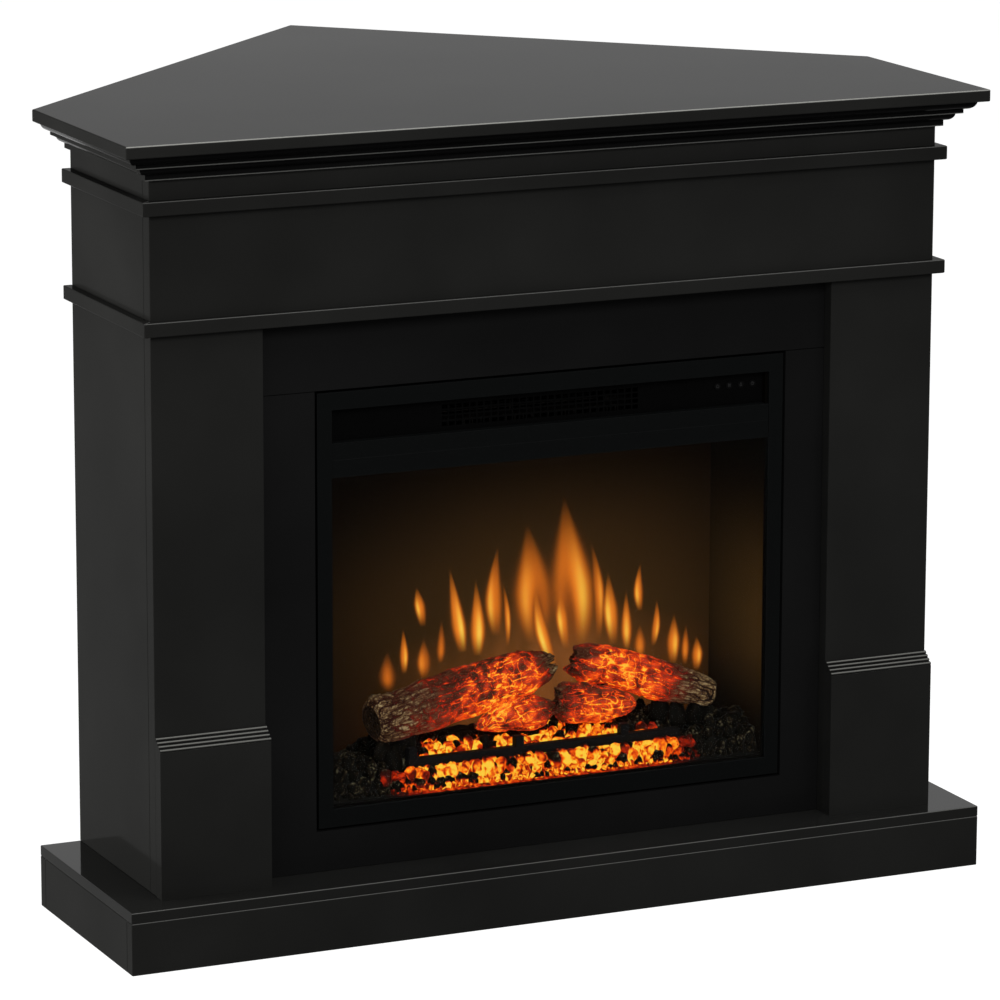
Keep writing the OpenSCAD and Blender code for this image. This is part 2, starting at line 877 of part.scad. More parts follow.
module flame_screen() {
    color([0.3, 0.18, 0.08]) at_front()
        box([fire_x0, screen_y, floor_z], [fire_x1, screen_y + screen_t, shelf_z1 - sheet_t]);
}

// An end of a log in the frame of the front edge
function log_end(p) = [insert_shift + p.x, case_y0 + p.y, floor_z + p.z];
LOGS = [
    [log_end(log_ll_a), log_end(log_ll_b), log_ll_r],
    [log_end(log_ls_a), log_end(log_ls_b), log_ls_r],
    [log_end(log_rl_a), log_end(log_rl_b), log_rl_r],
    [log_end(log_rs_a), log_end(log_rs_b), log_rs_r]
];

// Height of a log's underside at a share t of its length
function log_under(log, t) =
    let (
        run = log[1] - log[0],
        slope = norm([run.x, run.y]) / norm(run),
        r = log[2][0] + t * (log[2][1] - log[2][0])
    )
    log[0].z + t * run.z - r / slope;

// A tapered log between its two ends
module log_body(log) {
    run = log[1] - log[0];
    color(bark) at_front()
        translate(log[0])
            rotate([0, acos(run.z / norm(run)), atan2(run.y, run.x)])
                cylinder(h = norm(run), r1 = log[2][0], r2 = log[2][1]);
}

// A post from the firebox floor up to a log, narrow along the log
module log_post(log, t) {
    at = log[0] + t * (log[1] - log[0]);
    slope_drop = abs(log[1].z - log[0].z) / norm(log[1] - log[0]) * post_w / 2;
    translate([at.x - post_w / 2, at.y - post_d / 2, floor_z])
        cube([post_w, post_d, log_under(log, t) - floor_z - log_gap - slope_drop]);
}

// The moulded bed: a rising slope, a heap of unlit coal at each end, and posts for the logs
module ember_bed() {
    step_rear = bed_step_y + bed_step_d;
    color(resin) at_front() {
        translate([bed_x0, 0, floor_z])
            rotate([90, 0, 90])
                linear_extrude(bed_x1 - bed_x0)
                    difference() {
                        polygon([
                            [bed_front_y, 0],
                            [bed_front_y, bed_front_h],
                            [bed_step_y, bed_step_h],
                            [step_rear, bed_step_h],
                            [step_rear + bed_rise_d, bed_rise_h],
                            [bed_y1, bed_rear_h],
                            [bed_y1, 0]
                        ]);
                        polygon([
                            [bed_step_y, -cut],
                            [bed_step_y, bed_step_h - bed_wall],
                            [step_rear + bed_wall, bed_step_h - bed_wall],
                            [bed_y1 - bed_wall, bed_rise_h - bed_wall],
                            [bed_y1 - bed_wall, -cut]
                        ]);
                    }
        intersection() {
            box([bed_x0, bed_front_y, floor_z], [bed_x1, bed_y1, floor_z + heap_h]);
            for (x = [bed_x0, bed_x1])
                translate([x, case_y0 + heap_d, floor_z]) cylinder(h = heap_h, r1 = heap_r, r2 = heap_top_r);
        }
        for (log = LOGS, t = [0.12, 0.82])
            log_post(log, t);
    }
}

// The black front bar with short feet and uprights
module grate() {
    x0 = insert_shift + grate_shift - grate_len / 2;
    x1 = x0 + grate_len;
    y0 = case_y0 + grate_d;
    z0 = bed_step_z + grate_leg_h;
    pitch = (grate_len - upright_left - upright_right - grate_bar) / (grate_uprights - 1);
    color(satin_black) at_front() {
        box([x0, y0, z0], [x1, y0 + grate_bar, z0 + grate_bar]);
        for (x = [x0 + grate_foot_in, x1 - grate_foot_in])
            box(
                [x - grate_bar / 2, y0, bed_step_z],
                [x + grate_bar / 2, y0 + grate_bar, z0 + grate_bar / 2]
            );
        for (i = [0 : grate_uprights - 1])
            translate([x0 + upright_left + i * pitch, y0, z0])
                cube([grate_bar, grate_bar, grate_bar + upright_h]);
    }
}

// Reflector paddles on a shaft that turns behind the flame screen
module flame_rotor() {
    first = fire_x0 + rotor_end;
    pitch = (rotor_motor_x - first - rotor_end) / paddle_count;
    shaft_x0 = fire_x0 - bearing_len + shaft_end_gap;
    shaft_x1 = rotor_motor_x + bearing_len - shaft_end_gap;
    color(steel) at_front()
        translate([0, rotor_y, rotor_axis_z]) {
            translate([shaft_x0, 0, 0])
                rotate([0, 90, 0]) cylinder(h = shaft_x1 - shaft_x0, r = rotor_shaft_r);
            for (i = [0 : paddle_count - 1])
                translate([first + i * pitch, 0, 0])
                    rotate([i * paddle_turn, 0, 0])
                        translate([0, -paddle_t / 2, -paddle_w / 2])
                            cube([min(paddle_len, pitch - paddle_gap), paddle_t, paddle_w]);
        }
}

// The geared motor on the right wall, with a socket for the rotor's shaft
module rotor_motor() {
    color(steel) at_front()
        difference() {
            translate([
                rotor_motor_x,
                rotor_y - rotor_motor_size.y / 2,
                rotor_axis_z - rotor_motor_size.z / 2
            ])
                cube(rotor_motor_size);
            translate([rotor_motor_x - cut, rotor_y, rotor_axis_z])
                rotate([0, 90, 0]) cylinder(h = bearing_len + 2 * cut, r = rotor_shaft_r + running_gap);
        }
}

// The flame lamp board that stands on the firebox floor behind the screen
module led_board() {
    x0 = fire_x0 + led_in;
    x1 = rotor_motor_x - led_in;
    y0 = screen_y + screen_t + led_gap;
    pitch = (x1 - x0) / led_count;
    color(board_green) at_front() {
        box([x0, y0, floor_z], [x1, y0 + led_board_t, floor_z + led_board_h]);
        for (i = [0 : led_count - 1])
            translate([
                x0 + (i + 0.5) * pitch - lamp_w / 2,
                y0 + led_board_t,
                floor_z + led_board_h - lamp_down - lamp_w
            ])
                cube([lamp_w, lamp_t, lamp_w]);
    }
}

// A finned heating element on the heater shelf, behind the grille
module heating_element() {
    x0 = mesh_x + (mesh_w - element_size.x) / 2;
    fin_pitch = (element_size.x - fin_t) / (fin_count - 1);
    color(steel) at_front()
        translate([x0, element_y, shelf_z1]) {
            for (z = [0, element_size.z - fin_rail_t])
                translate([0, 0, z]) cube([element_size.x, element_size.y, fin_rail_t]);
            for (i = [0 : fin_count - 1])
                translate([i * fin_pitch, 0, 0]) cube([fin_t, element_size.y, element_size.z]);
        }
}

// The cross-flow wheel: discs, blades and a shaft stub at each end
module blower_wheel() {
    stub = wheel_gap + bearing_len;
    drive_stub = wheel_gap + housing_t + bearing_len - shaft_end_gap;
    color(satin_black) at_front()
        translate([blower_x0, blower_y, blower_z])
            rotate([0, 90, 0]) {
                for (x = [0, (wheel_len - disc_t) / 2, wheel_len - disc_t])
                    translate([0, 0, x]) cylinder(h = disc_t, r = wheel_r);
                for (i = [0 : blade_count - 1])
                    rotate([0, 0, i * 360 / blade_count])
                        translate([wheel_r - blade_in - blade_d, -blade_t / 2, 0])
                            cube([blade_d, blade_t, wheel_len]);
                translate([0, 0, -stub]) cylinder(h = stub + disc_t, r = rotor_shaft_r);
                translate([0, 0, wheel_len - disc_t]) cylinder(h = disc_t + drive_stub, r = rotor_shaft_r);
            }
}

// The motor that turns the wheel, in a cradle on the heater shelf
module blower_motor() {
    x0 = housing_x1 + housing_t;
    color(steel) at_front()
        difference() {
            union() {
                translate([x0, blower_y, blower_z])
                    rotate([0, 90, 0]) cylinder(h = blower_motor_len, r = blower_motor_r);
                box(
                    [x0 + cradle_in, blower_y - cradle_half_d, shelf_z1],
                    [x0 + blower_motor_len - cradle_in, blower_y + cradle_half_d, blower_z]
                );
            }
            translate([x0 - cut, blower_y, blower_z])
                rotate([0, 90, 0]) cylinder(h = bearing_len + 2 * cut, r = rotor_shaft_r + running_gap);
        }
}

// The open-fronted housing: floor, rear sheet and two end plates, the left one a bearing
module blower_housing() {
    x0 = housing_x0 - bearing_len;
    x1 = housing_x1 + housing_t;
    y0 = blower_y - wheel_r - housing_front;
    y1 = blower_y + wheel_r + housing_rear_gap + housing_t;
    z1 = blower_z + wheel_r + housing_top;
    color(steel) at_front()
        difference() {
            union() {
                box([x0, y0, shelf_z1], [x1, y1, shelf_z1 + housing_t]);
                box([x0, y1 - housing_t, shelf_z1], [x1, y1, z1]);
                box([x0, y0, shelf_z1], [housing_x0, y1, z1]);
                box([housing_x1, y0, shelf_z1], [x1, y1, z1]);
            }
            translate([x0 - cut, blower_y, blower_z])
                rotate([0, 90, 0]) cylinder(h = bearing_len + 2 * cut, r = rotor_shaft_r + running_gap);
            translate([housing_x1 - cut, blower_y, blower_z])
                rotate([0, 90, 0]) cylinder(h = housing_t + 2 * cut, r = rotor_shaft_r + shaft_hole_gap);
        }
}

// A rod along Y from one depth to another on the gland's axis
module gland_rod(y0, y1, r) {
    translate([gland_x, y0, gland_z]) rotate([-90, 0, 0]) cylinder(h = y1 - y0, r = r);
}

module gland_nut(y0) {
    translate([gland_x, y0, gland_z])
        rotate([-90, 0, 0]) cylinder(h = gland_nut_h, d = gland_flats / cos(30), $fn = 6);
}

// The cord gland: a threaded barrel through the back sheet, with a nut on each side
module power_gland() {
    rear = case_y1 + sheet_t;
    thread_y0 = case_y1 - gland_nut_h - gland_thread_end;
    color(satin_black) at_front()
        difference() {
            union() {
                gland_rod(thread_y0, rear + cut, gland_thread_r);
                gland_rod(rear, rear + gland_out, gland_barrel_r);
                gland_nut(case_y1 - gland_nut_h);
                gland_nut(rear);
            }
            gland_rod(thread_y0 - cut, rear + gland_out + cut, cord_r);
        }
}

// Places along the rear of the casing floor where screws go
module at_screws() {
    pitch = (fire_x1 - fire_x0) / screw_count;
    for (i = [0 : screw_count - 1])
        translate([fire_x0 + (i + 0.5) * pitch, case_y1 - screw_in, floor_z]) children();
}

// The screws that hold the casing on the hearth board
module mounting_screws() {
    color(steel) at_front()
        at_screws() {
            cylinder(h = screw_head_h, r = screw_head_r);
            translate([0, 0, -screw_len]) cylinder(h = screw_len, r = screw_r);
        }
}

top_shelf();
crown_front();
crown_side("left");  // crown_left
crown_side("right");  // crown_right
frieze_board();
band_front(upper_band_z);  // upper_band_front
band_side("left", upper_band_z);  // upper_band_left
band_side("right", upper_band_z);  // upper_band_right
band_front(lower_band_z);  // lower_band_front
band_side("left", lower_band_z);  // lower_band_left
band_side("right", lower_band_z);  // lower_band_right
side_panel("left");  // side_panel_left
side_panel("right");  // side_panel_right
pilaster("left");  // pilaster_left
pilaster("right");  // pilaster_right
base_block("left");  // base_block_left
base_block("right");  // base_block_right
header_panel();
surround_panel();
plinth_top();
plinth_front();
plinth_end("left");  // plinth_left
plinth_end("right");  // plinth_right
plinth_rear();
rear_rail();
shelf_gusset();
hearth_board();
bezel();
trim_strip();
glass_pane();
left_fascia();
outlet_grille();
control_panel();
button(0);  // standby_button
button(1);  // heat_button
button(2);  // flame_button
button(3);  // timer_button
control_board();
case_top();
case_bottom();
case_left();
case_right();
case_back();
heater_shelf();
flame_screen();
ember_bed();
log_body(LOGS[0]);  // log_left_large
log_body(LOGS[1]);  // log_left_small
log_body(LOGS[2]);  // log_right_large
log_body(LOGS[3]);  // log_right_small
grate();
flame_rotor();
rotor_motor();
led_board();
heating_element();
blower_wheel();
blower_motor();
blower_housing();
power_gland();
mounting_screws();
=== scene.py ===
import json
import math

import bmesh
import bpy
import numpy as np
from mathutils import Matrix, Vector, noise


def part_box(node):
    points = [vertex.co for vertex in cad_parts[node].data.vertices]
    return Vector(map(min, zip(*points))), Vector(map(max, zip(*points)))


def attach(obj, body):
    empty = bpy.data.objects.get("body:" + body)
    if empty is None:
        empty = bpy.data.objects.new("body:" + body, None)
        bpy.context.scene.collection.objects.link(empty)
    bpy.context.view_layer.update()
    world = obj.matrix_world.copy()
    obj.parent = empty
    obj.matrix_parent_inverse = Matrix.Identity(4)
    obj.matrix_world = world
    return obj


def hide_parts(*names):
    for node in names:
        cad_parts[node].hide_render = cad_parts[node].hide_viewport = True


# The corner fireplace's looks: black lacquer, a lit firebox and a plain pale studio.
# Lengths are in metres unless a name ends in _mm.

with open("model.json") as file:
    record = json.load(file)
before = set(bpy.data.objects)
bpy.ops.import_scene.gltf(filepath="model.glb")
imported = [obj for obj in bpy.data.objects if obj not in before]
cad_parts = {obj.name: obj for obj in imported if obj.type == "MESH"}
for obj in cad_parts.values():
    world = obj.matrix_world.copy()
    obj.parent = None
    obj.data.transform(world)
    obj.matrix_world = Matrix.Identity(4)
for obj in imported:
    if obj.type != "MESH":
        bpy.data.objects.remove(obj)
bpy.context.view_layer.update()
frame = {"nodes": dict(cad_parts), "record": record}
# Without a seed the noise differs from run to run
noise.seed_set(5)

MM = 0.001
MANTEL = "mantel"
WHITE = (1.0, 1.0, 1.0)


# ---------------- colours and shader nodes

def paint(colour):
    """Linear RGBA, from a six-digit sRGB code or from three linear numbers."""
    if isinstance(colour, str):
        parts = [int(colour[i:i + 2], 16) / 255 for i in (0, 2, 4)]
        colour = [p / 12.92 if p <= 0.04045 else ((p + 0.055) / 1.055) ** 2.4 for p in parts]
    return (*colour, 1.0)


def connect(tree, value, socket):
    """Links a socket to value, or writes value on it."""
    if isinstance(value, bpy.types.NodeSocket):
        tree.links.new(value, socket)
    else:
        socket.default_value = paint(value) if socket.type == "RGBA" else value


def feed(tree, node, **inputs):
    """Links or sets a node's inputs by name, where _ stands for a space."""
    for key, value in inputs.items():
        connect(tree, value, node.inputs[key.replace("_", " ")])


def configure(thing, **settings):
    """Sets attributes by name, in the order given."""
    for key, value in settings.items():
        setattr(thing, key, value)


def add(tree, kind, settings=(), **inputs):
    """A new node with its settings and its inputs."""
    made = tree.nodes.new("ShaderNode" + kind)
    configure(made, **dict(settings))
    feed(tree, made, **inputs)
    return made


def new_material(name, **inputs):
    """A material, its tree and its Principled shader with inputs set by name."""
    material = bpy.data.materials.new(name)
    material.use_nodes = True
    tree = material.node_tree
    shader = tree.nodes["Principled BSDF"]
    feed(tree, shader, **inputs)
    return material, tree, shader


def place(tree, stretch=(1, 1, 1)):
    """Coordinates in the part's frame, stretched along X, Y and Z."""
    coordinates = add(tree, "TexCoord")
    return add(tree, "Mapping", Vector=coordinates.outputs["Object"], Scale=stretch).outputs["Vector"]


def grain(tree, scale, detail=3.0, stretch=(1, 1, 1), roughness=0.5):
    """A noise value from 0 to 1."""
    return add(
        tree, "TexNoise", Vector=place(tree, stretch), Scale=scale, Detail=detail, Roughness=roughness
    ).outputs["Fac"]


def ramp(tree, value, stops):
    """A colour that follows value through stops of (position, colour)."""
    made = add(tree, "ValToRGB", Fac=value)
    elements = made.color_ramp.elements
    while len(elements) < len(stops):
        elements.new(0.5)
    for element, (position, colour) in zip(elements, stops):
        element.position = position
        element.color = paint(colour)
    return made.outputs["Color"]


def mottled(tree, value, colour, darker, lighter, start=0.3, end=0.7):
    """A colour from darker to lighter times itself as value goes from start to end."""
    tones = [[share * part for part in paint(colour)[:3]] for share in (darker, lighter)]
    return ramp(tree, value, list(zip((start, end), tones)))


def mixed(tree, factor, first, second, blend="MIX"):
    """The first colour with the second blended over it by factor."""
    settings = {"data_type": "RGBA", "blend_type": blend}
    return add(tree, "Mix", settings, Factor=factor, A=first, B=second).outputs["Result"]


def span(tree, value, low, high, start=0.0, end=1.0):
    """Maps value from start..end to low..high."""
    return add(
        tree, "MapRange", Value=value, From_Min=start, From_Max=end, To_Min=low, To_Max=high
    ).outputs["Result"]


def calc(tree, operation, a, b=0.0, clamp=False):
    """The result of a Math node."""
    made = add(tree, "Math", {"operation": operation, "use_clamp": clamp})
    connect(tree, a, made.inputs[0])
    connect(tree, b, made.inputs[1])
    return made.outputs["Value"]


def multiply(tree, product, *values):
    """The product of all the values."""
    for value in values:
        product = calc(tree, "MULTIPLY", product, value)
    return product


def bumped(tree, shader, height, strength, distance):
    """Gives shader a bump from a height value."""
    made = add(tree, "Bump", Height=height, Strength=strength, Distance=distance)
    tree.links.new(made.outputs["Normal"], shader.inputs["Normal"])


def stored(tree, name, output="Fac"):
    """A value stored on the mesh's points."""
    return add(tree, "Attribute", {"attribute_name": name}).outputs[output]


def axis_value(tree, axis):
    """The X, Y or Z coordinate in the part's frame."""
    return add(tree, "SeparateXYZ", Vector=place(tree)).outputs[axis]


def facing(tree, axis):
    """The X, Y or Z of the way that the surface faces."""
    return add(tree, "SeparateXYZ", Vector=add(tree, "TexCoord").outputs["Normal"]).outputs[axis]


# ---------------- materials

GLOW_LEVELS = (0.0, 0.12, 0.28, 0.42, 0.56, 0.70, 0.84, 1.0)
GLOW_STOPS = list(zip(GLOW_LEVELS, "000000 140302 4c0b04 9c1c05 e04408 fb7410 ffa322 ffca3e".split()))
BARK_GLOW_STOPS = list(zip(GLOW_LEVELS, "000000 1a0503 560e06 a41c07 e03a08 f9600d ff8e1c ffbc34".split()))
BARK_STOPS = [(0.1, "060403"), (0.36, "23160d"), (0.58, "4a3320"), (0.78, "7a6141"), (1.0, "c4ac7e")]
ASH_AND_GLINT_STOPS = [(0.0, "0a0806"), (0.6, "21180f"), (1.0, "58533f")]
FLAME_STOPS = [(0.0, "3c200c"), (0.25, "9a4c18"), (0.45, "da701e"), (0.65, "f28e2c"), (0.85, "fbb43e"),
               (1.0, "ffcc52")]

# Refractive index of boards with little shine, and height of the crown's painted highlight lines
PLAIN_SHEEN = 1.03
CROWN_HIGHLIGHT_LINE = 1.3 * MM


def upward(tree):
    """How far a surface faces up, from 0 to 1."""
    return calc(tree, "MAXIMUM", facing(tree, "Z"), 0.0)


def painted_highlight_edges(tree):
    """Where highlights are painted: 1 where a surface leans up and to the front, as rounded edges do, and 0
    on flat boards.
    """
    front = calc(tree, "MAXIMUM", multiply(tree, facing(tree, "Y"), -1.0), 0.0)
    return calc(tree, "MULTIPLY", multiply(tree, upward(tree), front), 2.0, clamp=True)


def crown_highlight_lines(tree):
    """1 on a thin line along the lower edge of each of the crown's steps, where a highlight is painted."""
    low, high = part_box("crown_front")
    step = (high.z - low.z) / 2
    level = calc(tree, "MODULO", calc(tree, "SUBTRACT", axis_value(tree, "Z"), low.z - step), step)
    return calc(tree, "LESS_THAN", level, CROWN_HIGHLIGHT_LINE)


def lacquer(name, colour, roughness=0.09, sheen=PLAIN_SHEEN, highlight_colour="565654", highlight_where=painted_highlight_edges):
    """Black lacquer with painted highlights in a lighter colour where the mask is 1, and glossier on top."""
    material, tree, shader = new_material(name, IOR=sheen)
    ground = mottled(tree, grain(tree, 5.0), colour, 0.85, 1.15)
    feed(tree, shader, Base_Color=mixed(tree, highlight_where(tree), ground, highlight_colour),
         Roughness=span(tree, grain(tree, 14.0), roughness - 0.02, roughness + 0.03))
    if sheen > PLAIN_SHEEN:
        feed(tree, shader, Specular_IOR_Level=span(tree, upward(tree), 0.1, 0.5))
    bumped(tree, shader, grain(tree, 420.0, detail=1.0), 0.02, 0.4 * MM)
    return material


def satin_paint(name, colour, roughness=0.42, sheen=1.16, bump=0.05):
    """Satin powder paint on sheet steel, with a fine grain."""
    material, tree, shader = new_material(name, IOR=sheen)
    speck = grain(tree, 900.0, detail=2.0)
    feed(tree, shader, Base_Color=mottled(tree, speck, colour, 0.8, 1.2, 0.35, 0.65),
         Roughness=span(tree, grain(tree, 9.0), roughness - 0.04, roughness + 0.05))
    bumped(tree, shader, speck, bump, 0.3 * MM)
    return material


def bare_metal(name, colour, stretch=(1, 1, 1), roughness=0.32):
    """Metal with a drawn grain along one axis."""
    material, tree, shader = new_material(name, Metallic=1.0)
    line = grain(tree, 260.0, stretch=stretch)
    feed(tree, shader, Base_Color=mottled(tree, line, colour, 0.75, 1.0),
         Roughness=span(tree, grain(tree, 30.0), roughness - 0.06, roughness + 0.1))
    bumped(tree, shader, line, 0.12, 0.2 * MM)
    return material


def galvanised(name):
    """Zinc-coated sheet with its spangle."""
    material, tree, shader = new_material(name, Metallic=1.0)
    spangle = add(tree, "TexVoronoi", {"feature": "F1"}, Vector=place(tree), Scale=70.0).outputs["Color"]
    tone = add(tree, "SeparateColor", Color=spangle).outputs["Red"]
    feed(tree, shader, Base_Color=ramp(tree, tone, [(0.0, "6f7478"), (1.0, "a2a7aa")]),
         Roughness=span(tree, tone, 0.28, 0.46))
    return material


def plastic(name, colour, roughness=0.45, bump=0.08, sheen=1.45):
    """Moulded plastic with a fine spark texture."""
    material, tree, shader = new_material(name, IOR=sheen)
    speck = grain(tree, 1400.0, detail=2.0)
    feed(tree, shader, Base_Color=mottled(tree, speck, colour, 0.85, 1.15),
         Roughness=span(tree, grain(tree, 40.0), roughness - 0.05, roughness + 0.05))
    bumped(tree, shader, speck, bump, 0.2 * MM)
    return material


def circuit():
    """Green solder mask with lighter copper tracks under it."""
    material, tree, shader = new_material("circuit", Roughness=0.35)
    track = add(tree, "TexBrick", Vector=place(tree), Scale=60.0, Mortar_Size=0.03,
                Color1="0d3a1c", Color2="10431f", Mortar="2a7a3c").outputs["Color"]
    feed(tree, shader, Base_Color=track)
    return material


def clear_glass():
    """Thin clear glass with a little shine at a low angle."""
    material, tree, shader = new_material("clear_glass")
    tree.nodes.remove(shader)
    through = add(tree, "BsdfTransparent", Color=(0.97, 0.98, 0.975))
    shine = add(tree, "BsdfGlossy", Color=WHITE, Roughness=span(tree, grain(tree, 7.0), 0.02, 0.05))
    joined = add(tree, "MixShader", Fac=add(tree, "Fresnel", IOR=1.05).outputs["Fac"])
    tree.links.new(through.outputs["BSDF"], joined.inputs[1])
    tree.links.new(shine.outputs["BSDF"], joined.inputs[2])
    tree.links.new(joined.outputs["Shader"], tree.nodes["Material Output"].inputs["Surface"])
    return material


# How the fine fibres are drawn out along a log
FIBRE_STRETCH = (0.18, 1, 1)


def lit_bark():
    """Resin bark: light fibres and flecks over dark furrows, with lit cracks."""
    material, tree, shader = new_material("lit_bark", IOR=1.14, Emission_Strength=1.0)
    speck = grain(tree, 520.0, detail=4.0)
    drawn_out = add(tree, "Mapping", Vector=stored(tree, "on_log", "Vector"), Scale=FIBRE_STRETCH)
    fibre = add(tree, "TexNoise", Vector=drawn_out.outputs["Vector"], Scale=620.0, Detail=3.0).outputs["Fac"]
    flecks = span(tree, speck, -0.13, 0.13, 0.3, 0.7)
    fine = calc(tree, "ADD", span(tree, fibre, -0.24, 0.24, 0.3, 0.7), flecks)
    bark = ramp(tree, calc(tree, "ADD", stored(tree, "height"), fine), BARK_STOPS)
    # Reddish brown where the log is warm: partly char colour, partly painted glow on the surface
    char_and_glow_tint = span(tree, stored(tree, "warmth"), 0.0, 0.88, 0.04, 0.6)
    glow = multiply(tree, stored(tree, "glow"), span(tree, fine, 1.35, 0.65, -0.3, 0.3))
    feed(tree, shader, Base_Color=mixed(tree, char_and_glow_tint, bark, "40180d"),
         Emission_Color=ramp(tree, glow, BARK_GLOW_STOPS), Roughness=span(tree, speck, 0.35, 0.6))
    bumped(tree, shader, fine, 0.7, 1.6 * MM)
    return material


def lit_coal():
    """Resin coals: glowing inside, dark where charred, with thin light edges where cold, partly ash and
    partly painted glints.
    """
    material, tree, shader = new_material("lit_coal", IOR=1.07, Emission_Strength=1.0)
    speck = grain(tree, 260.0, detail=4.0)
    cold = span(tree, stored(tree, "glow"), 1.0, 0.0, 0.0, 0.3)
    # Light edges of cold coals: partly ash, partly painted glints
    ash_and_glint = multiply(tree, stored(tree, "edge"), cold, span(tree, speck, 0.0, 1.0, 0.46, 0.62))
    glow = multiply(tree, stored(tree, "glow"), span(tree, speck, 0.8, 1.38))
    feed(tree, shader, Base_Color=ramp(tree, ash_and_glint, ASH_AND_GLINT_STOPS), Emission_Color=ramp(tree, glow, GLOW_STOPS),
         Roughness=span(tree, speck, 0.35, 0.65))
    bumped(tree, shader, speck, 0.6, 1.2 * MM)
    return material


BED_MIDDLE_X = 0.005
# Half widths of the bed's fully lit part and of all its lit part
BED_WARM_HALF, BED_LIT_HALF = 0.165, 0.228
# Depths behind the bed's front edge between which its glow dies away
BED_LIT_DEPTH, BED_DARK_DEPTH = 0.060, 0.095


def glowing_bed():
    """The moulded bed: red light between the coals, dark at the back and at both ends."""
    material, tree, shader = new_material("glowing_bed", IOR=1.1, Roughness=0.6, Emission_Strength=1.0)
    speck = grain(tree, 120.0, detail=4.0)
    offset = calc(tree, "ABSOLUTE", calc(tree, "SUBTRACT", axis_value(tree, "X"), BED_MIDDLE_X))
    lit = span(tree, offset, 0.62, 0.0, BED_WARM_HALF, BED_LIT_HALF)
    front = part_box("ember_bed")[0].y
    near = span(tree, axis_value(tree, "Y"), 1.0, 0.0, front + BED_LIT_DEPTH, front + BED_DARK_DEPTH)
    glow = multiply(tree, lit, near, span(tree, speck, 0.2, 1.2, 0.3, 0.7))
    feed(tree, shader, Base_Color=ramp(tree, speck, [(0.3, "050404"), (0.7, "0e0c09")]),
         Emission_Color=ramp(tree, glow, GLOW_STOPS))
    bumped(tree, shader, speck, 0.6, 2.0 * MM)
    return material


# The middle of the screen's brown glow and how far it reaches
GLOW_X, GLOW_Z = 0.076, 0.335
GLOW_REACH_X, GLOW_REACH_UP, GLOW_REACH_DOWN = 0.298, 0.18, 0.15
# The haze behind the logs: its crest's height, its fall to both sides, and its narrowness
HAZE_Z, HAZE_SLOPE, HAZE_NARROW = 0.322, 0.25, 1.6


def offset_from(tree, value, middle, reach):
    """How far value lies from middle, in units of reach, and 0 on the other side of it."""
    offset = calc(tree, "DIVIDE", calc(tree, "SUBTRACT", value, middle), reach)
    return calc(tree, "MAXIMUM", offset, 0)


def bell(tree, *offsets):
    """A soft bell that falls from 1 as the offsets grow."""
    total = 0.0
    for offset in offsets:
        total = calc(tree, "ADD", multiply(tree, offset, offset), total)
    steep = multiply(tree, total, span(tree, total, 1.0, 1.5, 0.0, 2.0))
    return calc(tree, "EXPONENT", multiply(tree, steep, -1.0))


def light_of(tree, amount, colour):
    """The light of a colour by amount, from black at 0."""
    return ramp(tree, amount, [(0.0, "000000"), (1.0, colour)])


def back_screen():
    """The flame screen: a brown glow, black at the corners, and a haze behind the logs."""
    material, tree, shader = new_material("back_screen", Base_Color="050403", Roughness=0.6, IOR=1.03,
                                          Emission_Strength=1.0)
    x, z = axis_value(tree, "X"), axis_value(tree, "Z")
    side = calc(tree, "ABSOLUTE", calc(tree, "SUBTRACT", x, GLOW_X))
    across = calc(tree, "DIVIDE", side, GLOW_REACH_X)
    up, down = (offset_from(tree, z, GLOW_Z, reach) for reach in (GLOW_REACH_UP, -GLOW_REACH_DOWN))
    glow = multiply(tree, bell(tree, across, up, down), span(tree, grain(tree, 9.0), 0.85, 1.15))
    crest = calc(tree, "SUBTRACT", HAZE_Z, multiply(tree, side, HAZE_SLOPE))
    low = span(tree, calc(tree, "SUBTRACT", z, crest), 1.0, 0.0, -0.03, 0.06)
    wisps = span(tree, grain(tree, 26.0, stretch=(1, 1, 0.3)), 0.5, 1.3, 0.3, 0.7)
    haze = multiply(tree, low, bell(tree, multiply(tree, across, HAZE_NARROW)), wisps)
    warm = mixed(tree, 1.0, light_of(tree, glow, "3a260f"), light_of(tree, haze, "6e3c1a"), blend="ADD")
    feed(tree, shader, Emission_Color=warm)
    return material


# Where the painted firelight on the side walls is brightest, and how far it reaches
WALL_FIRELIGHT_Z = 0.345
WALL_REACH_UP, WALL_REACH_DOWN = 0.14, 0.10


def painted_firelight_wall():
    """The firebox's side walls: satin black with the fire's reflection painted on as a brown glow, brightest
    near the front.
    """
    material, tree, shader = new_material("painted_firelight_wall", Base_Color="060504", Roughness=0.4, IOR=1.05,
                                          Emission_Strength=1.0)
    low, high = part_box("case_right")
    z = axis_value(tree, "Z")
    up, down = (offset_from(tree, z, WALL_FIRELIGHT_Z, reach) for reach in (WALL_REACH_UP, -WALL_REACH_DOWN))
    near = span(tree, axis_value(tree, "Y"), 1.0, 0.35, low.y + 0.02, high.y - 0.05)
    streaks = span(tree, grain(tree, 20.0, stretch=(1, 1, 3)), 0.85, 1.15)
    turned_in = calc(tree, "LESS_THAN", multiply(tree, facing(tree, "X"), axis_value(tree, "X")), 0.0)
    lit = multiply(tree, bell(tree, up, down), near, streaks, turned_in)
    feed(tree, shader, Emission_Color=light_of(tree, lit, "33220c"))
    bumped(tree, shader, grain(tree, 900.0), 0.05, 0.3 * MM)
    return material


def flame_light():
    """Soft flame light: yellow inside, orange outside, clear at the rim."""
    material, tree, shader = new_material("flame_light", Base_Color=(0, 0, 0), Roughness=1.0, IOR=1.0,
                                          Emission_Strength=1.0)
    feed(tree, shader, Emission_Color=ramp(tree, stored(tree, "glow"), FLAME_STOPS),
         Alpha=stored(tree, "cover"))
    return material
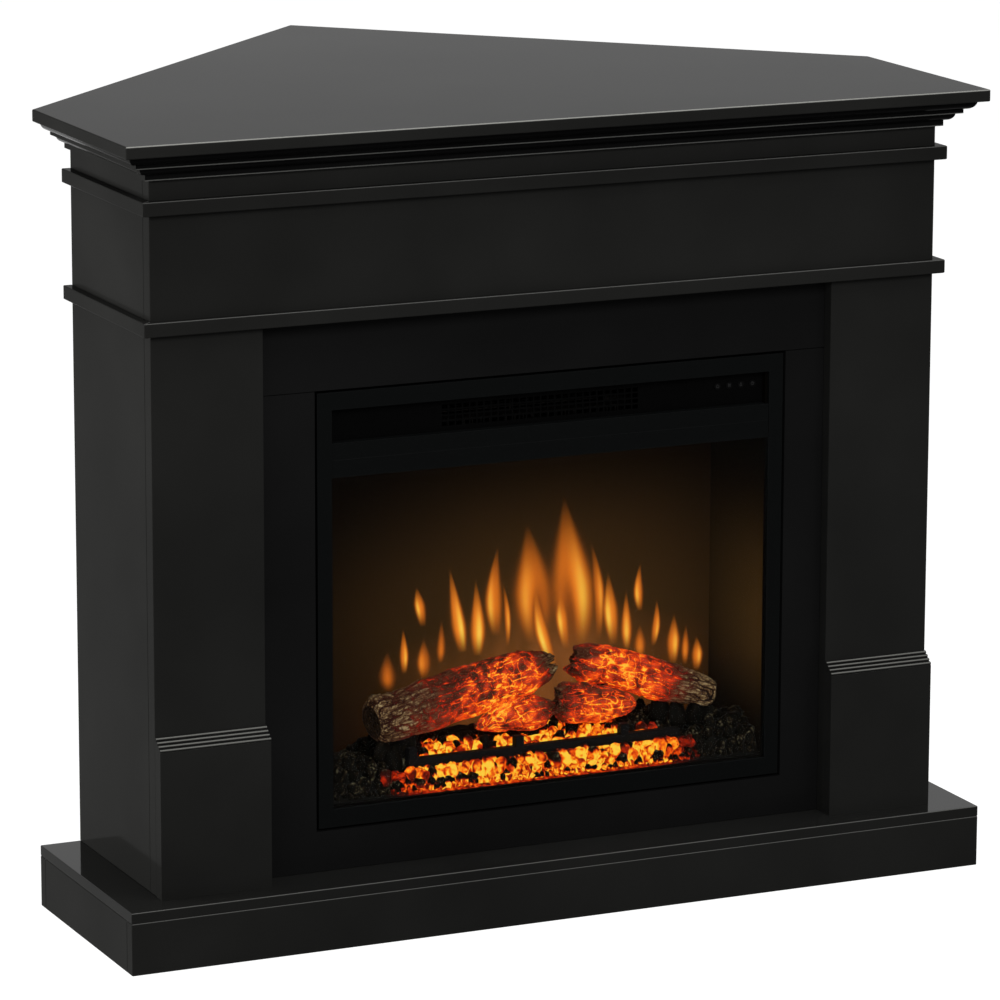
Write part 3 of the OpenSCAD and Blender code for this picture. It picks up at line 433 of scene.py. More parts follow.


# Lacquers: each one's second colour is a painted highlight on its edges, brightest on the top shelf and the
# beads
LACQUER = lacquer("lacquer", "1d1d1c")
LACQUER_BRIGHT_HIGHLIGHT = lacquer("lacquer_bright_highlight", "1d1d1c", highlight_colour="8e8e8a")
LACQUER_BEADED = lacquer("lacquer_beaded", "1d1d1c", highlight_colour="6c6c68")
# The crown's front: a darker lacquer as painted shade under the shelf, and painted highlight lines
LACQUER_CROWN_SHADED = lacquer("lacquer_crown_shaded", "0c0c0c", highlight_colour="4c4c4a", highlight_where=crown_highlight_lines)
LACQUER_RECESS = lacquer("lacquer_recess", "121212", 0.12)
LACQUER_PLINTH = lacquer("lacquer_plinth", "1b1b1a", 0.06, sheen=1.12)
RECESS_EDGE = satin_paint("recess_edge", "050505", sheen=1.03)
FRAME_BLACK = satin_paint("frame_black", "0b0c0c", sheen=1.045)
# The bezel's softened edges, a shade lighter and shinier than its face: a faint painted highlight
FRAME_EDGE = satin_paint("frame_edge", "101111", sheen=1.06)
CASING_BLACK = satin_paint("casing_black", "080706", roughness=0.4, sheen=1.05)
IRON_BLACK = satin_paint("iron_black", "0c0b0b", roughness=0.5, sheen=1.1, bump=0.2)
PLATE_BLACK = satin_paint("plate_black", "060606", sheen=1.03)
BUTTON_BLACK = plastic("button_black", "080808", roughness=0.35, sheen=1.05)
PRINT_GREY = plastic("print_grey", "303030", roughness=0.5, sheen=1.05)
GLAND_BLACK = plastic("gland_black", "0d0d0d")
# Dark foam for the bezel's gap, partly seal and partly stand-in shade
SHADE_SEAL_FOAM = plastic("shade_seal_foam", "060606", roughness=0.9, bump=0.4, sheen=1.03)
STEEL = bare_metal("steel", "b4b6ba", stretch=(1, 8, 8))
ALUMINIUM = bare_metal("aluminium", "c2c4c8", stretch=(8, 1, 1))
BURNT_STEEL = bare_metal("burnt_steel", "2c2a28", stretch=(8, 1, 1), roughness=0.5)
ZINC = galvanised("zinc")
CIRCUIT = circuit()
GLASS = clear_glass()
BARK = lit_bark()
COAL = lit_coal()
BED = glowing_bed()
SCREEN = back_screen()
PAINTED_FIRELIGHT_WALL = painted_firelight_wall()
FLAME = flame_light()

BY_SLOT = {
    "lacquer": LACQUER, "frame_black": FRAME_BLACK, "casing": CASING_BLACK, "housing": CASING_BLACK,
    "glass": GLASS, "button": BUTTON_BLACK, "circuit": CIRCUIT, "screen": SCREEN, "ember": BED,
    "bark": BARK, "iron": IRON_BLACK, "reflector": ALUMINIUM, "motor": STEEL, "screw": STEEL,
    "heater": BURNT_STEEL, "wheel": BURNT_STEEL, "gland": GLAND_BLACK,
}
OWN_MATERIAL = {
    "top_shelf": LACQUER_BRIGHT_HIGHLIGHT, "crown_front": LACQUER_CROWN_SHADED, "plinth_top": LACQUER_PLINTH,
    "base_block_left": LACQUER_BEADED, "base_block_right": LACQUER_BEADED,
    "header_panel": LACQUER_RECESS, "surround_panel": LACQUER_RECESS,
    "left_fascia": PLATE_BLACK, "outlet_grille": PLATE_BLACK, "control_panel": PLATE_BLACK,
    "case_left": PAINTED_FIRELIGHT_WALL, "case_right": PAINTED_FIRELIGHT_WALL, "case_back": ZINC, "blower_motor": BURNT_STEEL,
}

# Softened edges: the boards' catch light, the sheet metal's are fine
EDGE_MM = {
    LACQUER: 1.2, LACQUER_BRIGHT_HIGHLIGHT: 1.8, LACQUER_BEADED: 1.2, LACQUER_CROWN_SHADED: 0.5, LACQUER_PLINTH: 1.2,
    LACQUER_RECESS: 0.5, FRAME_BLACK: 0.35, IRON_BLACK: 1.0, BUTTON_BLACK: 0.3,
}
EDGE_MATERIAL = {LACQUER_RECESS: RECESS_EDGE, FRAME_BLACK: FRAME_EDGE}


def soften(node, width_mm, edge_material):
    """Rounds a CAD node's sharp edges for the light, without changing its mesh."""
    node.data.materials.append(edge_material)
    configure(node.modifiers.new("weld", "WELD"), merge_threshold=0.02 * MM)
    configure(node.modifiers.new("soft_edge", "BEVEL"), width=width_mm * MM, segments=3, limit_method="ANGLE",
              angle_limit=math.radians(50), harden_normals=True, loop_slide=False, material=1)


def dress_cad():
    """Gives every CAD node its material and its softened edges."""
    slots = {part["node"]: part["material_slot"] for part in frame["record"]["subparts"]}
    for name, node in frame["nodes"].items():
        material = OWN_MATERIAL.get(name, BY_SLOT[slots[name]])
        node.data.materials.clear()
        node.data.materials.append(material)
        if material in EDGE_MM:
            soften(node, EDGE_MM[material], EDGE_MATERIAL.get(material, material))


# ---------------- meshes

def new_object(name, data):
    made = bpy.data.objects.new(name, data)
    bpy.context.scene.collection.objects.link(made)
    return made


def make_piece(name, points, faces, material, body=MANTEL, values=(), smooth=True, flip=False):
    """A mesh piece that rides on a body, with values on its points. flip turns its faces over."""
    mesh = bpy.data.meshes.new(name)
    mesh.from_pydata([tuple(p) for p in points], [], [tuple(f) for f in faces])
    for key, column in dict(values).items():
        column = np.asarray(column, np.float32)
        kind, field = ("FLOAT", "value") if column.ndim == 1 else ("FLOAT_VECTOR", "vector")
        mesh.attributes.new(key, kind, "POINT").data.foreach_set(field, column.ravel())
    mesh.polygons.foreach_set("use_smooth", [smooth] * len(mesh.polygons))
    mesh.materials.append(material)
    mesh.validate()
    if flip:
        mesh.flip_normals()
    piece = new_object(name, mesh)
    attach(piece, body)
    return piece


def smoothstep(low, high, x):
    """0 up to low, 1 from high on, and a smooth rise between them."""
    t = np.clip((np.asarray(x, float) - low) / (high - low), 0.0, 1.0)
    return t * t * (3 - 2 * t)


def grid_faces(rows, columns, closed=False):
    """Quads of a grid, whose columns may close into a ring."""
    faces = []
    for i in range(rows - 1):
        low, high = i * columns, (i + 1) * columns
        for j in range(columns if closed else columns - 1):
            k = (j + 1) % columns
            faces.append((low + j, low + k, high + k, high + j))
    return faces


# ---------------- logs

def log_axis(node_name):
    """Outer end, inner end and their radii, read from the CAD log."""
    points = np.array([v.co for v in frame["nodes"][node_name].data.vertices])
    middle = points.mean(0)
    axis = np.linalg.svd(points - middle)[2][0]
    along = (points - middle) @ axis
    ends = []
    for rim in (points[along < 0.8 * along.min()], points[along > 0.8 * along.max()]):
        centre = rim.mean(0)
        ends.append((centre, np.linalg.norm(rim - centre, axis=1).max()))
    ends.sort(key=lambda end: -abs(end[0][0] - BED_MIDDLE_X))
    return ends[0][0], ends[1][0], ends[0][1], ends[1][1]


RINGS, SIDES = 270, 150
# How deep the bark's furrows are
BARK_RELIEF = 4.2 * MM
# Sizes of the bark's features along a log and across it
FURROW_MM, CRACK_MM, FIBRE_MM = (52, 9), (11, 13), (21, 2.1)
WARP_MM, FLECK_MM, LUMP_MM, MOTTLE_MM = (17, 17), (2.9, 2.9), (38, 38), (10, 10)
# Noise values up to which furrows and cracks are cut, and up to which they glow
FURROW_CUT, CRACK_CUT = 0.15, 0.09
FURROW_GLOW, CRACK_GLOW = 0.075, 0.055
# Where a log's ragged inner end begins, and how much it bulges for its radius
TIP_FROM, BULGE = 0.88, 0.16
# Parts of a warm log's light: upper side, under side, cracks, low places, patches and bulges
TOP_LIGHT, UNDER_LIGHT, CRACK_LIGHT, LOW_LIGHT, PATCH_LIGHT, BULGE_LIGHT = 0.42, 0.10, 0.42, 0.25, 0.34, 0.25
TIP_DARKER = 0.12


def in_units(spot, size_mm):
    """A place on a log, first along it, in units of a feature's size."""
    along, across = size_mm
    return Vector((spot.x / (along * MM), spot.y / (across * MM), spot.z / (across * MM)))


def bark_at(spot, seed):
    """Height of the bark, from 0 in furrows to 1 on ridges, and how near a glowing crack is."""
    shift = Vector((seed, 0.3 * seed, 0))
    warp = 0.55 * noise.noise_vector(in_units(spot, WARP_MM) + shift)
    furrow = abs(noise.noise(in_units(spot, FURROW_MM) + warp + shift))
    crack = abs(noise.noise(in_units(spot, CRACK_MM) + warp - shift))
    fibre = noise.noise(in_units(spot, FIBRE_MM))
    fleck = noise.noise(in_units(spot, FLECK_MM))
    plate = min(1.0, furrow / FURROW_CUT) * (0.45 + 0.55 * min(1.0, crack / CRACK_CUT))
    height = max(0.0, min(1.0, 0.06 + 0.66 * plate + 0.32 * fibre + 0.09 * fleck))
    return height, max(0.0, 1 - furrow / FURROW_GLOW, 0.85 - crack / CRACK_GLOW)


def make_log(node_name, seed, lit, profile, lift_mm, tip_reach_mm, top_glow):
    """A bark log along a CAD log's axis: a sawn outer end, a broken and glowing inner end.

    lit, profile and lift_mm pair places along the log, from 0 outside to 1 inside, with its glow, its
    thickness against the CAD log and its lift. tip_reach_mm is how far the inner end is torn, and top_glow
    the glow of its top side against its other sides.
    """
    start, end, r_start, r_end = log_axis(node_name)
    start, end = Vector(start), Vector(end)
    run = end - start
    direction = run.normalized()
    side = direction.cross(Vector((0, 0, 1))).normalized()
    up = side.cross(direction)
    length = run.length
    points, height, glow, warm = [], [], [], []
    for i in range(RINGS):
        t = i / (RINGS - 1)
        radius = (r_start + (r_end - r_start) * t) * np.interp(t, *zip(*profile))
        warmth = np.interp(t, *zip(*lit))
        lift = float(np.interp(t, *zip(*lift_mm)))
        tip = float(smoothstep(TIP_FROM, 1.0, t))
        for j in range(SIDES):
            angle = 2 * math.pi * j / SIDES
            ring = Vector((math.cos(angle), math.sin(angle)))
            spot = Vector((t * length, ring.x * radius, ring.y * radius))
            bark, crack = bark_at(spot, seed)
            lump = noise.noise(in_units(spot, LUMP_MM) + Vector((seed, 1, 2)))
            mottle = noise.noise(in_units(spot, MOTTLE_MM) + Vector((seed, 5, 0)))
            ragged = noise.noise(Vector((ring.x * 1.6, ring.y * 1.6, seed + 7.0)))
            splinter = noise.noise(Vector((ring.x * 6.0, ring.y * 6.0, seed + 3.0)))
            r = radius * (1 + BULGE * lump) - BARK_RELIEF * (1 - bark)
            reach = tip * tip_reach_mm * MM * (0.5 + 1.1 * ragged + 0.5 * splinter)
            centre = start + direction * (t * length + reach) + up * (lift * MM)
            points.append(centre + side * (ring.x * r) + up * (ring.y * r))
            light = TOP_LIGHT * (1 - (1 - top_glow) * max(0.0, ring.y)) + UNDER_LIGHT * max(0.0, -ring.y)
            light += CRACK_LIGHT * crack + LOW_LIGHT * (0.5 - bark)
            light += PATCH_LIGHT * mottle + BULGE_LIGHT * lump
            glow.append(max(0.0, warmth * light - TIP_DARKER * tip))
            height.append(bark)
            warm.append(warmth)
    faces = grid_faces(RINGS, SIDES, closed=True)
    cap_log(points, faces, height, glow, direction, seed)
    warm += [0.0] * (len(points) - len(warm))
    on_log = (np.array(points) - np.array(start)) @ np.array([direction, side, up]).T
    values = {"height": height, "glow": glow, "warmth": warm, "on_log": on_log}
    piece = make_piece(node_name + "_bark", points, faces, BARK, values=values, flip=True)
    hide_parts(node_name)


# Rings on a log's end, how far its middle is sunk outside and inside, and its year rings
CAP_STEPS = 9
SAWN_SUNK, BROKEN_SUNK = 0.6 * MM, -5.0 * MM
YEAR_RINGS = 26.0


def cap_log(points, faces, height, glow, direction, seed):
    """Closes both ends of a log with rings that shrink to a point."""
    for first, sunk in ((0, SAWN_SUNK), ((RINGS - 1) * SIDES, BROKEN_SUNK)):
        rim = points[first:first + SIDES]
        centre = sum(rim, Vector()) / SIDES
        previous = list(range(first, first + SIDES))
        for k in range(1, CAP_STEPS):
            share = 1 - k / CAP_STEPS
            ring_start = len(points)
            for j in range(SIDES):
                spoke = rim[j] - centre
                rough = noise.noise((centre + spoke * share) / (6 * MM) + Vector((seed, 0, 0)))
                depth = sunk * (1 - share) + 1.4 * MM * rough
                points.append(centre + spoke * share + direction * depth)
                height.append(0.35 + 0.15 * math.sin(share * YEAR_RINGS) + 0.3 * rough)
                glow.append(glow[first + j] * (0.4 + 0.5 * share) if first else 0.0)
            current = list(range(ring_start, ring_start + SIDES))
            add_band(faces, previous, current, flip=first == 0)
            previous = current
        points.append(centre + direction * sunk)
        height.append(0.4)
        glow.append(0.0)
        last = len(points) - 1
        for j in range(SIDES):
            a, b = previous[j], previous[(j + 1) % SIDES]
            faces.append((b, a, last) if first == 0 else (a, b, last))


def add_band(faces, outer, inner, flip):
    """Quads between two rings of the same size."""
    count = len(outer)
    for j in range(count):
        k = (j + 1) % count
        quad = (outer[j], outer[k], inner[k], inner[j])
        faces.append(tuple(reversed(quad)) if flip else quad)


LOGS = {
    "log_left_large": dict(
        seed=11.3, tip_reach_mm=17, top_glow=0.5, lift_mm=[(0, 0), (1, 0)],
        lit=[(0, 0.1), (0.12, 0.25), (0.3, 0.5), (0.45, 0.95), (0.6, 1.25), (0.76, 1.3), (0.88, 0.95),
             (0.97, 0.3)],
        profile=[(0, 0.72), (0.012, 0.86), (0.04, 0.99), (0.3, 1.08), (0.7, 1.12), (0.86, 1.08), (0.95, 0.8),
                 (1, 0.35)]),
    "log_left_small": dict(
        seed=23.7, tip_reach_mm=8, top_glow=0.9, lift_mm=[(0, -1), (0.5, -2), (1, -8)],
        lit=[(0, 0.95), (0.3, 1.25), (0.6, 1.15), (0.82, 0.9), (1, 0.5)],
        profile=[(0, 0.3), (0.12, 0.66), (0.4, 1.15), (0.7, 1.45), (0.88, 1.35), (1, 0.7)]),
    "log_right_large": dict(
        seed=37.1, tip_reach_mm=12, top_glow=0.7, lift_mm=[(0, 0), (1, 0)],
        lit=[(0, 0), (0.14, 0.1), (0.3, 0.45), (0.46, 1.1), (0.7, 1.35), (0.86, 1.2), (0.95, 0.95), (1, 0.6)],
        profile=[(0, 0.62), (0.02, 0.8), (0.08, 0.96), (0.4, 1.12), (0.8, 1.12), (0.93, 1.06), (1, 0.7)]),
    "log_right_small": dict(
        seed=51.9, tip_reach_mm=6, top_glow=0.9, lift_mm=[(0, 9), (0.4, 6), (1, 2)],
        lit=[(0, 0.85), (0.2, 1.1), (0.5, 1.25), (0.75, 1.0), (0.9, 0.7), (1, 0.5)],
        profile=[(0, 0.35), (0.12, 0.8), (0.4, 1.18), (0.75, 1.38), (0.93, 1.3), (1, 0.8)]),
}


def make_logs():
    """The four bark logs, in place of the CAD's."""
    for node_name, shape in LOGS.items():
        make_log(node_name, **shape)


# ---------------- coals

def unit_sphere():
    """Points and faces of a ball made of triangles."""
    ball = bmesh.new()
    bmesh.ops.create_icosphere(ball, subdivisions=3, radius=1.0)
    points = np.array([v.co for v in ball.verts])
    faces = np.array([[v.index for v in f.verts] for f in ball.faces])
    ball.free()
    return points, faces


BALL_POINTS, BALL_FACES = unit_sphere()
# Flat sides cut from each coal
FACETS = 11


def coal_points(rng, stretch):
    """A coal's points, and for each how near an edge it is, its facet's tone and its roughness."""
    planes = rng.normal(size=(FACETS, 3))
    planes /= np.linalg.norm(planes, axis=1)[:, None]
    reach = rng.uniform(0.5, 0.9, FACETS)
    toward = BALL_POINTS @ planes.T
    cuts = np.where(toward > 0.2, reach / np.maximum(toward, 0.2), 1.2)
    tone = rng.uniform(0, 1, FACETS)[cuts.argmin(1)]
    cuts = np.sort(cuts, axis=1)
    radius = np.minimum(cuts[:, 0], 1.0)
    edge = 1 - smoothstep(0.0, 0.08, np.minimum(cuts[:, 1], 1.0) - radius)
    shift = Vector(rng.uniform(0, 90, 3))
    rough = np.array([noise.noise(Vector(p) * 2.6 + shift) for p in BALL_POINTS])
    points = BALL_POINTS * (radius * (1 + 0.14 * rough))[:, None] * np.array(stretch)
    turn = Matrix.Rotation(rng.uniform(-0.5, 0.5), 3, "Z") @ Matrix.Rotation(rng.uniform(-0.4, 0.4), 3, "X")
    return points @ np.array(turn).T, edge, tone, rough


class CoalPile:
    """Coals gathered into one mesh piece."""

    def __init__(self, seed):
        self.rng = np.random.default_rng(seed)
        self.points, self.faces, self.glow, self.edge = [], [], [], []

    def put(self, centre, stretch, glow=0.0, dark_above=1.0, ash_and_glint=1.0):
        """Adds a coal that glows up to a level, from -1 at its foot to 1 on top."""
        shape, edge, tone, rough = coal_points(self.rng, stretch)
        first = sum(len(p) for p in self.points)
        level = shape[:, 2] / stretch[2] + 0.35 * rough
        lit = smoothstep(dark_above + 0.25, dark_above - 0.25, level)
        light = glow * lit * (0.62 + 0.52 * tone + 0.3 * rough) * (1 - 0.55 * edge)
        self.points.append(shape + np.array(centre))
        self.faces.append(BALL_FACES + first)
        self.glow.append(np.clip(light, 0, 1.0))
        self.edge.append(edge * ash_and_glint)

    def finish(self, name):
        piece = make_piece(name, np.concatenate(self.points), np.concatenate(self.faces), COAL,
                           values={"glow": np.concatenate(self.glow), "edge": np.concatenate(self.edge)})


BED_LOW, BED_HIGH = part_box("ember_bed")

# The moulded bed: depth behind its front edge and height above the floor, and its two heaps
BED_PROFILE_MM = [(0, 3), (8, 9), (18, 21), (44, 23), (50, 38), (151, 46)]
HEAP_H_MM, HEAP_R_MM, HEAP_TOP_R_MM = 51, 92, 18
HEAP_DEPTH_MM, HEAP_FROM_WALL_MM = 36, 34
FRONT_SLOPE = 2.3
# How low it lies behind the heaps, and how far from the walls it rises
LOW_BEHIND_HEAPS = 0.25
LOW_TO_MM, FULL_FROM_MM = 55, 110


def bed_height(x, depth):
    """The bed's height in mm at a place in mm from its front left corner."""
    width = (BED_HIGH.x - BED_LOW.x) / MM
    from_wall = min(x, width - x)
    rise = LOW_BEHIND_HEAPS + (1 - LOW_BEHIND_HEAPS) * smoothstep(LOW_TO_MM, FULL_FROM_MM, from_wall)
    height = rise * np.interp(depth, *zip(*BED_PROFILE_MM))
    for middle in (HEAP_FROM_WALL_MM, width - HEAP_FROM_WALL_MM):
        away = np.hypot(x - middle, depth - HEAP_DEPTH_MM)
        heap = HEAP_H_MM * np.clip((HEAP_R_MM - away) / (HEAP_R_MM - HEAP_TOP_R_MM), 0, 1)
        height = np.maximum(height, np.minimum(heap, 3 + FRONT_SLOPE * depth))
    return height


# The bed's cells, how far it lies under the coals' height, and its foot
BED_CELL_MM, BED_UNDER_COALS_MM, BED_FOOT_MM = 3.0, 4.0, 0.2
# Sizes in mm of its lumps, each with its slice of the noise
BED_LUMPS = ((14, 4), (5, 9))


def make_bed():
    """The moulded bed, as one closed mesh with a lumpy top."""
    width, depth = (BED_HIGH.x - BED_LOW.x) / MM, (BED_HIGH.y - BED_LOW.y) / MM
    columns, rows = round(width / BED_CELL_MM), round(depth / BED_CELL_MM)
    upper, lower = [], []
    for i in range(rows):
        for j in range(columns):
            x, y = width * j / (columns - 1), depth * i / (rows - 1)
            coarse, fine = (noise.noise(Vector((x / size, y / size, row))) for size, row in BED_LUMPS)
            z = max(1.0, float(bed_height(x, y)) - BED_UNDER_COALS_MM + 3.0 * coarse + 1.6 * fine)
            for layer, rise in ((upper, z), (lower, BED_FOOT_MM)):
                layer.append((BED_LOW.x + x * MM, BED_LOW.y + y * MM, BED_LOW.z + rise * MM))
    top = grid_faces(rows, columns)
    faces = top + [tuple(reversed([k + rows * columns for k in face])) for face in top]
    rim = list(range(columns))
    rim += [i * columns + columns - 1 for i in range(1, rows)]
    rim += [(rows - 1) * columns + j for j in range(columns - 2, -1, -1)]
    rim += [i * columns for i in range(rows - 2, 0, -1)]
    for a, b in zip(rim, rim[1:] + rim[:1]):
        faces.append((b, a, a + rows * columns, b + rows * columns))
    piece = make_piece("moulded_bed", upper + lower, faces, BED)
    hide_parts("ember_bed")


# Rows of lit coals: depth from the bed's front edge, height above the floor, half size, share charred
LIT_ROWS_MM = [
    (3.5, 5, 5.5, 0.35), (9, 12, 11.0, 0.3), (12, 23, 12.0, 0.12),
    (20, 23, 11.0, 0.1), (41, 31, 11.0, 0.03), (52, 37, 11.5, 0.05),
    (64, 40, 10.5, 0.3), (78, 43, 10.0, 0.6), (92, 44, 10.0, 0.9),
]
# Depths of the rows of unlit coals, which lie on the heaps
COLD_ROWS_MM = [3, 8, 14, 20, 27, 35, 45, 56, 68, 81, 95, 109, 123, 138]
# How far they sink in, and their half size, which is smaller before COLD_FRONT_MM
COLD_SINK_MM, COLD_SIZE_MM = 5, 11.5
COLD_SMALL_MM, COLD_FRONT_MM = 6.0, 5
# How far the lit coals reach to both sides of the bed's middle, at depths
LIT_REACH_MM = [(0, 226), (25, 222), (41, 196), (92, 165)]
# Over which length their light fades towards both ends
FADE_MM = 60


def lit_reach(depth):
    return np.interp(depth, *zip(*LIT_REACH_MM))


def lay_row(pile, depth, height_at, size, low_x, high_x, charred=0.0, reach=None):
    """A row of coals from low_x to high_x, in mm, that glow within reach of the bed's middle."""
    rng = pile.rng
    x = low_x
    while x < high_x:
        half = size * rng.uniform(0.8, 1.15)
        warmth = float(smoothstep(reach, reach - FADE_MM, abs(x - BED_MIDDLE_X / MM))) if reach else 0.0
        stretch = np.array([rng.uniform(0.75, 1.1), 0.85, rng.uniform(0.85, 1.25)]) * half
        y = max(depth + rng.uniform(-1.5, 1.5), 0.9 * half - 1)
        z = max(height_at(x, depth) + rng.uniform(-2, 2), 1 + stretch[2])
        glow = (0.3 + 0.66 * warmth) * rng.uniform(0.85, 1.15) if reach else 0.0
        burnt = rng.random() < charred + 0.4 * (1 - warmth)
        dark_above = rng.uniform(-0.5, 0.1) if burnt else rng.uniform(0.5, 1.6)
        inside = min(max(x, BED_LOW.x / MM + half), BED_HIGH.x / MM - half)
        pile.put((inside * MM, BED_LOW.y + y * MM, BED_LOW.z + z * MM), stretch * MM, glow, dark_above)
        x += half * rng.uniform(1.25, 1.7)


def cold_height(x, depth):
    return float(bed_height(x - BED_LOW.x / MM, depth)) - COLD_SINK_MM


def make_coals():
    """Glowing coals in rows over the middle of the bed, and unlit ones over its heaps."""
    lit, cold = CoalPile(5), CoalPile(6)
    middle = BED_MIDDLE_X / MM
    for depth, height, size, charred in LIT_ROWS_MM:
        reach = lit_reach(depth)
        lay_row(lit, depth, lambda x, d, h=height: h, size, middle - reach, middle + reach, charred, reach)
    for depth in COLD_ROWS_MM:
        size = COLD_SMALL_MM if depth < COLD_FRONT_MM else COLD_SIZE_MM
        reach = lit_reach(depth)
        lay_row(cold, depth, cold_height, size, BED_LOW.x / MM, middle - reach)
        lay_row(cold, depth, cold_height, size, middle + reach, BED_HIGH.x / MM)
    lit.finish("lit_coals")
    cold.finish("unlit_coals")


# Charred blocks under each log: place along it, half width, and shift along X and Y
RESTS_MM = {
    "log_left_large": [(0.04, 17, -2, -6), (0.11, 19, 0, -10), (0.19, 18, 0, -8), (0.82, 11, 0, 0)],
    "log_left_small": [(0.14, 9, 0, 0), (0.82, 10, 0, 0)],
    "log_right_large": [(0.06, 15, 0, -4), (0.16, 18, 0, -6), (0.27, 18, 0, -4), (0.40, 14, 0, 0),
                        (0.82, 11, 0, 0)],
    "log_right_small": [(0.14, 9, 0, 0), (0.82, 11, 0, 0)],
}
# How deep the blocks go into the log and the bed, and how much of the light edges, ash and painted glints,
# they show
REST_INTO_LOG_MM, REST_INTO_BED_MM = 6, 9
REST_ASH_AND_GLINT = 0.3


def make_rests():
    """Charred blocks that stand on the bed where the CAD has posts and carry the logs; their dark mass also
    stands in for the shade under the logs.
    """
    pile = CoalPile(7)
    for node_name, rests in RESTS_MM.items():
        start, end, r_start, r_end = log_axis(node_name)
        for t, half, move_x, move_y in rests:
            x, y, z = start + (end - start) * t + np.array((move_x, move_y, 0)) * MM
            ground = float(bed_height((x - BED_LOW.x) / MM, (y - BED_LOW.y) / MM))
            foot = BED_LOW.z + (ground - REST_INTO_BED_MM) * MM
            top = z - (r_start + (r_end - r_start) * t) + REST_INTO_LOG_MM * MM
            stretch = (half * MM, 0.75 * half * MM, 0.62 * (top - foot))
            pile.put((x, y, (foot + top) / 2), stretch, ash_and_glint=REST_ASH_AND_GLINT)
    pile.finish("log_rests")


# ---------------- flames

FLAME_ROWS, FLAME_COLUMNS = 60, 33

# Flames in mm from the screen's lower left corner: x and z of the base, the belly and the tip, half width
# at the belly, which side is hotter from -1 to 1, glow, and how hollow the middle is from 0 to 1
FLAMES_MM = [
    (144, 99, 142, 120, 142, 157, 11.5, 0.0, 0.45),
    (166, 121, 166, 146, 164, 185, 6.0, 0.35, 0.85),
    (193, 182, 188, 212, 183, 239, 7.2, -0.5, 0.9),
    (195, 111, 194, 135, 194, 169, 9.8, -0.35, 0.62),
    (218, 130, 219, 149, 219, 193, 6.5, 0.0, 0.5),
    (250, 142, 244, 180, 230, 263, 9.8, 0.35, 0.97),
    (272, 135, 272, 171, 268, 242, 10.5, 0.2, 0.97),
    (299, 160, 295, 208, 302, 285, 11.9, -0.5, 0.85),
    (315, 143, 315, 185, 307, 234, 4.7, 0.2, 0.75),
    (356, 145, 353, 212, 342, 312, 27.4, -0.35, 0.82, 1.0),
    (384, 106, 366, 154, 356, 226, 9.5, -0.3, 1.0),
    (416, 132, 409, 215, 396, 344, 29.8, 0.5, 0.92, 0.9),
    (401, 130, 394, 177, 392, 212, 8.5, -0.4, 0.92),
    (448, 139, 448, 211, 435, 278, 8.1, 0.3, 0.72),
    (471, 130, 466, 177, 462, 234, 10.4, -0.4, 0.95),
    (491, 121, 490, 150, 489, 206, 7.8, 0.0, 0.88),
    (510, 172, 507, 199, 511, 241, 6.7, -0.3, 0.85),
    (511, 105, 510, 126, 510, 157, 8.9, 0.0, 0.55),
    (530, 122, 534, 148, 534, 189, 6.0, 0.4, 0.8),
    (560, 93, 560, 126, 561, 166, 9.3, 0.35, 0.85),
    (578, 91, 578, 114, 579, 150, 6.1, 0.0, 0.58),
    (595, 81, 596, 105, 594, 131, 7.9, 0.4, 0.8),
]


def bend(t, values, belly):
    """A smooth curve through the values at the base, the belly and the tip."""
    base, middle, tip = values
    return (base * (t - belly) * (t - 1) / belly + middle * t * (t - 1) / (belly * (belly - 1))
            + tip * t * (t - belly) / (1 - belly))


# The width of a flame's sheet against the flame itself
FLAME_HALO = 1.9
# How far the first flame stands off the screen, and each next flame off the last
FLAME_OFF, FLAME_STEP = 0.5 * MM, 0.06 * MM


def flame_sheet(base_x, base_z, belly_x, belly_z, tip_x, tip_z, half, hot_side, strength, hollow=0.0):
    """Places, glow and cover of a flame: a thin leaf, hottest beside its belly, with a faint halo."""
    up, side = np.linspace(0, 1, FLAME_ROWS), np.linspace(-1, 1, FLAME_COLUMNS)
    rise, across = np.meshgrid(up, side, indexing="ij")
    waist = (belly_z - base_z) / (tip_z - base_z)
    below = np.clip(rise / waist, 0, 1)
    above = np.clip((rise - waist) / (1 - waist), 0, 1)
    width = half * (0.6 + 0.4 * np.sin(0.5 * math.pi * below)) * (1 - above ** 1.35) ** 1.1
    x = bend(rise, (base_x, belly_x, tip_x), waist) + across * width * FLAME_HALO
    z = base_z + rise * (tip_z - base_z)
    off = across * FLAME_HALO
    core = np.exp(-((off - hot_side) / 0.5) ** 2 - ((rise - 0.8 * waist) / 0.30) ** 2)
    hole = hollow * np.exp(-((off + 0.35 * hot_side) / 0.42) ** 2 - ((rise - 0.22) / 0.25) ** 2)
    body = smoothstep(1.4, 0.4, np.abs(off))
    glow = strength * (0.5 + 0.5 * core) * (1 - 0.75 * hole) * (0.35 + 0.65 * body)
    fade = smoothstep(-0.05, 0.85 * waist, rise) * smoothstep(1.0, 0.45, rise)
    cover = (0.86 * body + 0.14 * (1 - np.abs(across))) * fade * (0.6 + 0.4 * strength)
    return x, z, glow, cover


def make_flames():
    """The flame picture, one leaf a flame, just in front of the screen."""
    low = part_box("flame_screen")[0]
    points, faces, glow, cover = [], [], [], []
    for index, flame in enumerate(FLAMES_MM):
        x, z, light, shade = flame_sheet(*flame)
        y = low.y - FLAME_OFF - FLAME_STEP * index
        first = len(points)
        points += [(low.x + a * MM, y, low.z + b * MM) for a, b in zip(x.ravel(), z.ravel())]
        faces += [tuple(first + k for k in f) for f in grid_faces(FLAME_ROWS, FLAME_COLUMNS)]
        glow += list(light.ravel())
        cover += list(shade.ravel())
    piece = make_piece("flames", points, faces, FLAME, values={"glow": glow, "cover": cover})


# ---------------- seal, a dark strip that also stands in for the shade in the bezel's gap

SEAL_WIDTH, SEAL_DEPTH, SEAL_FROM_RIM = 3.0 * MM, 6.0 * MM, 1.0 * MM
SEAL_STEPS = 9


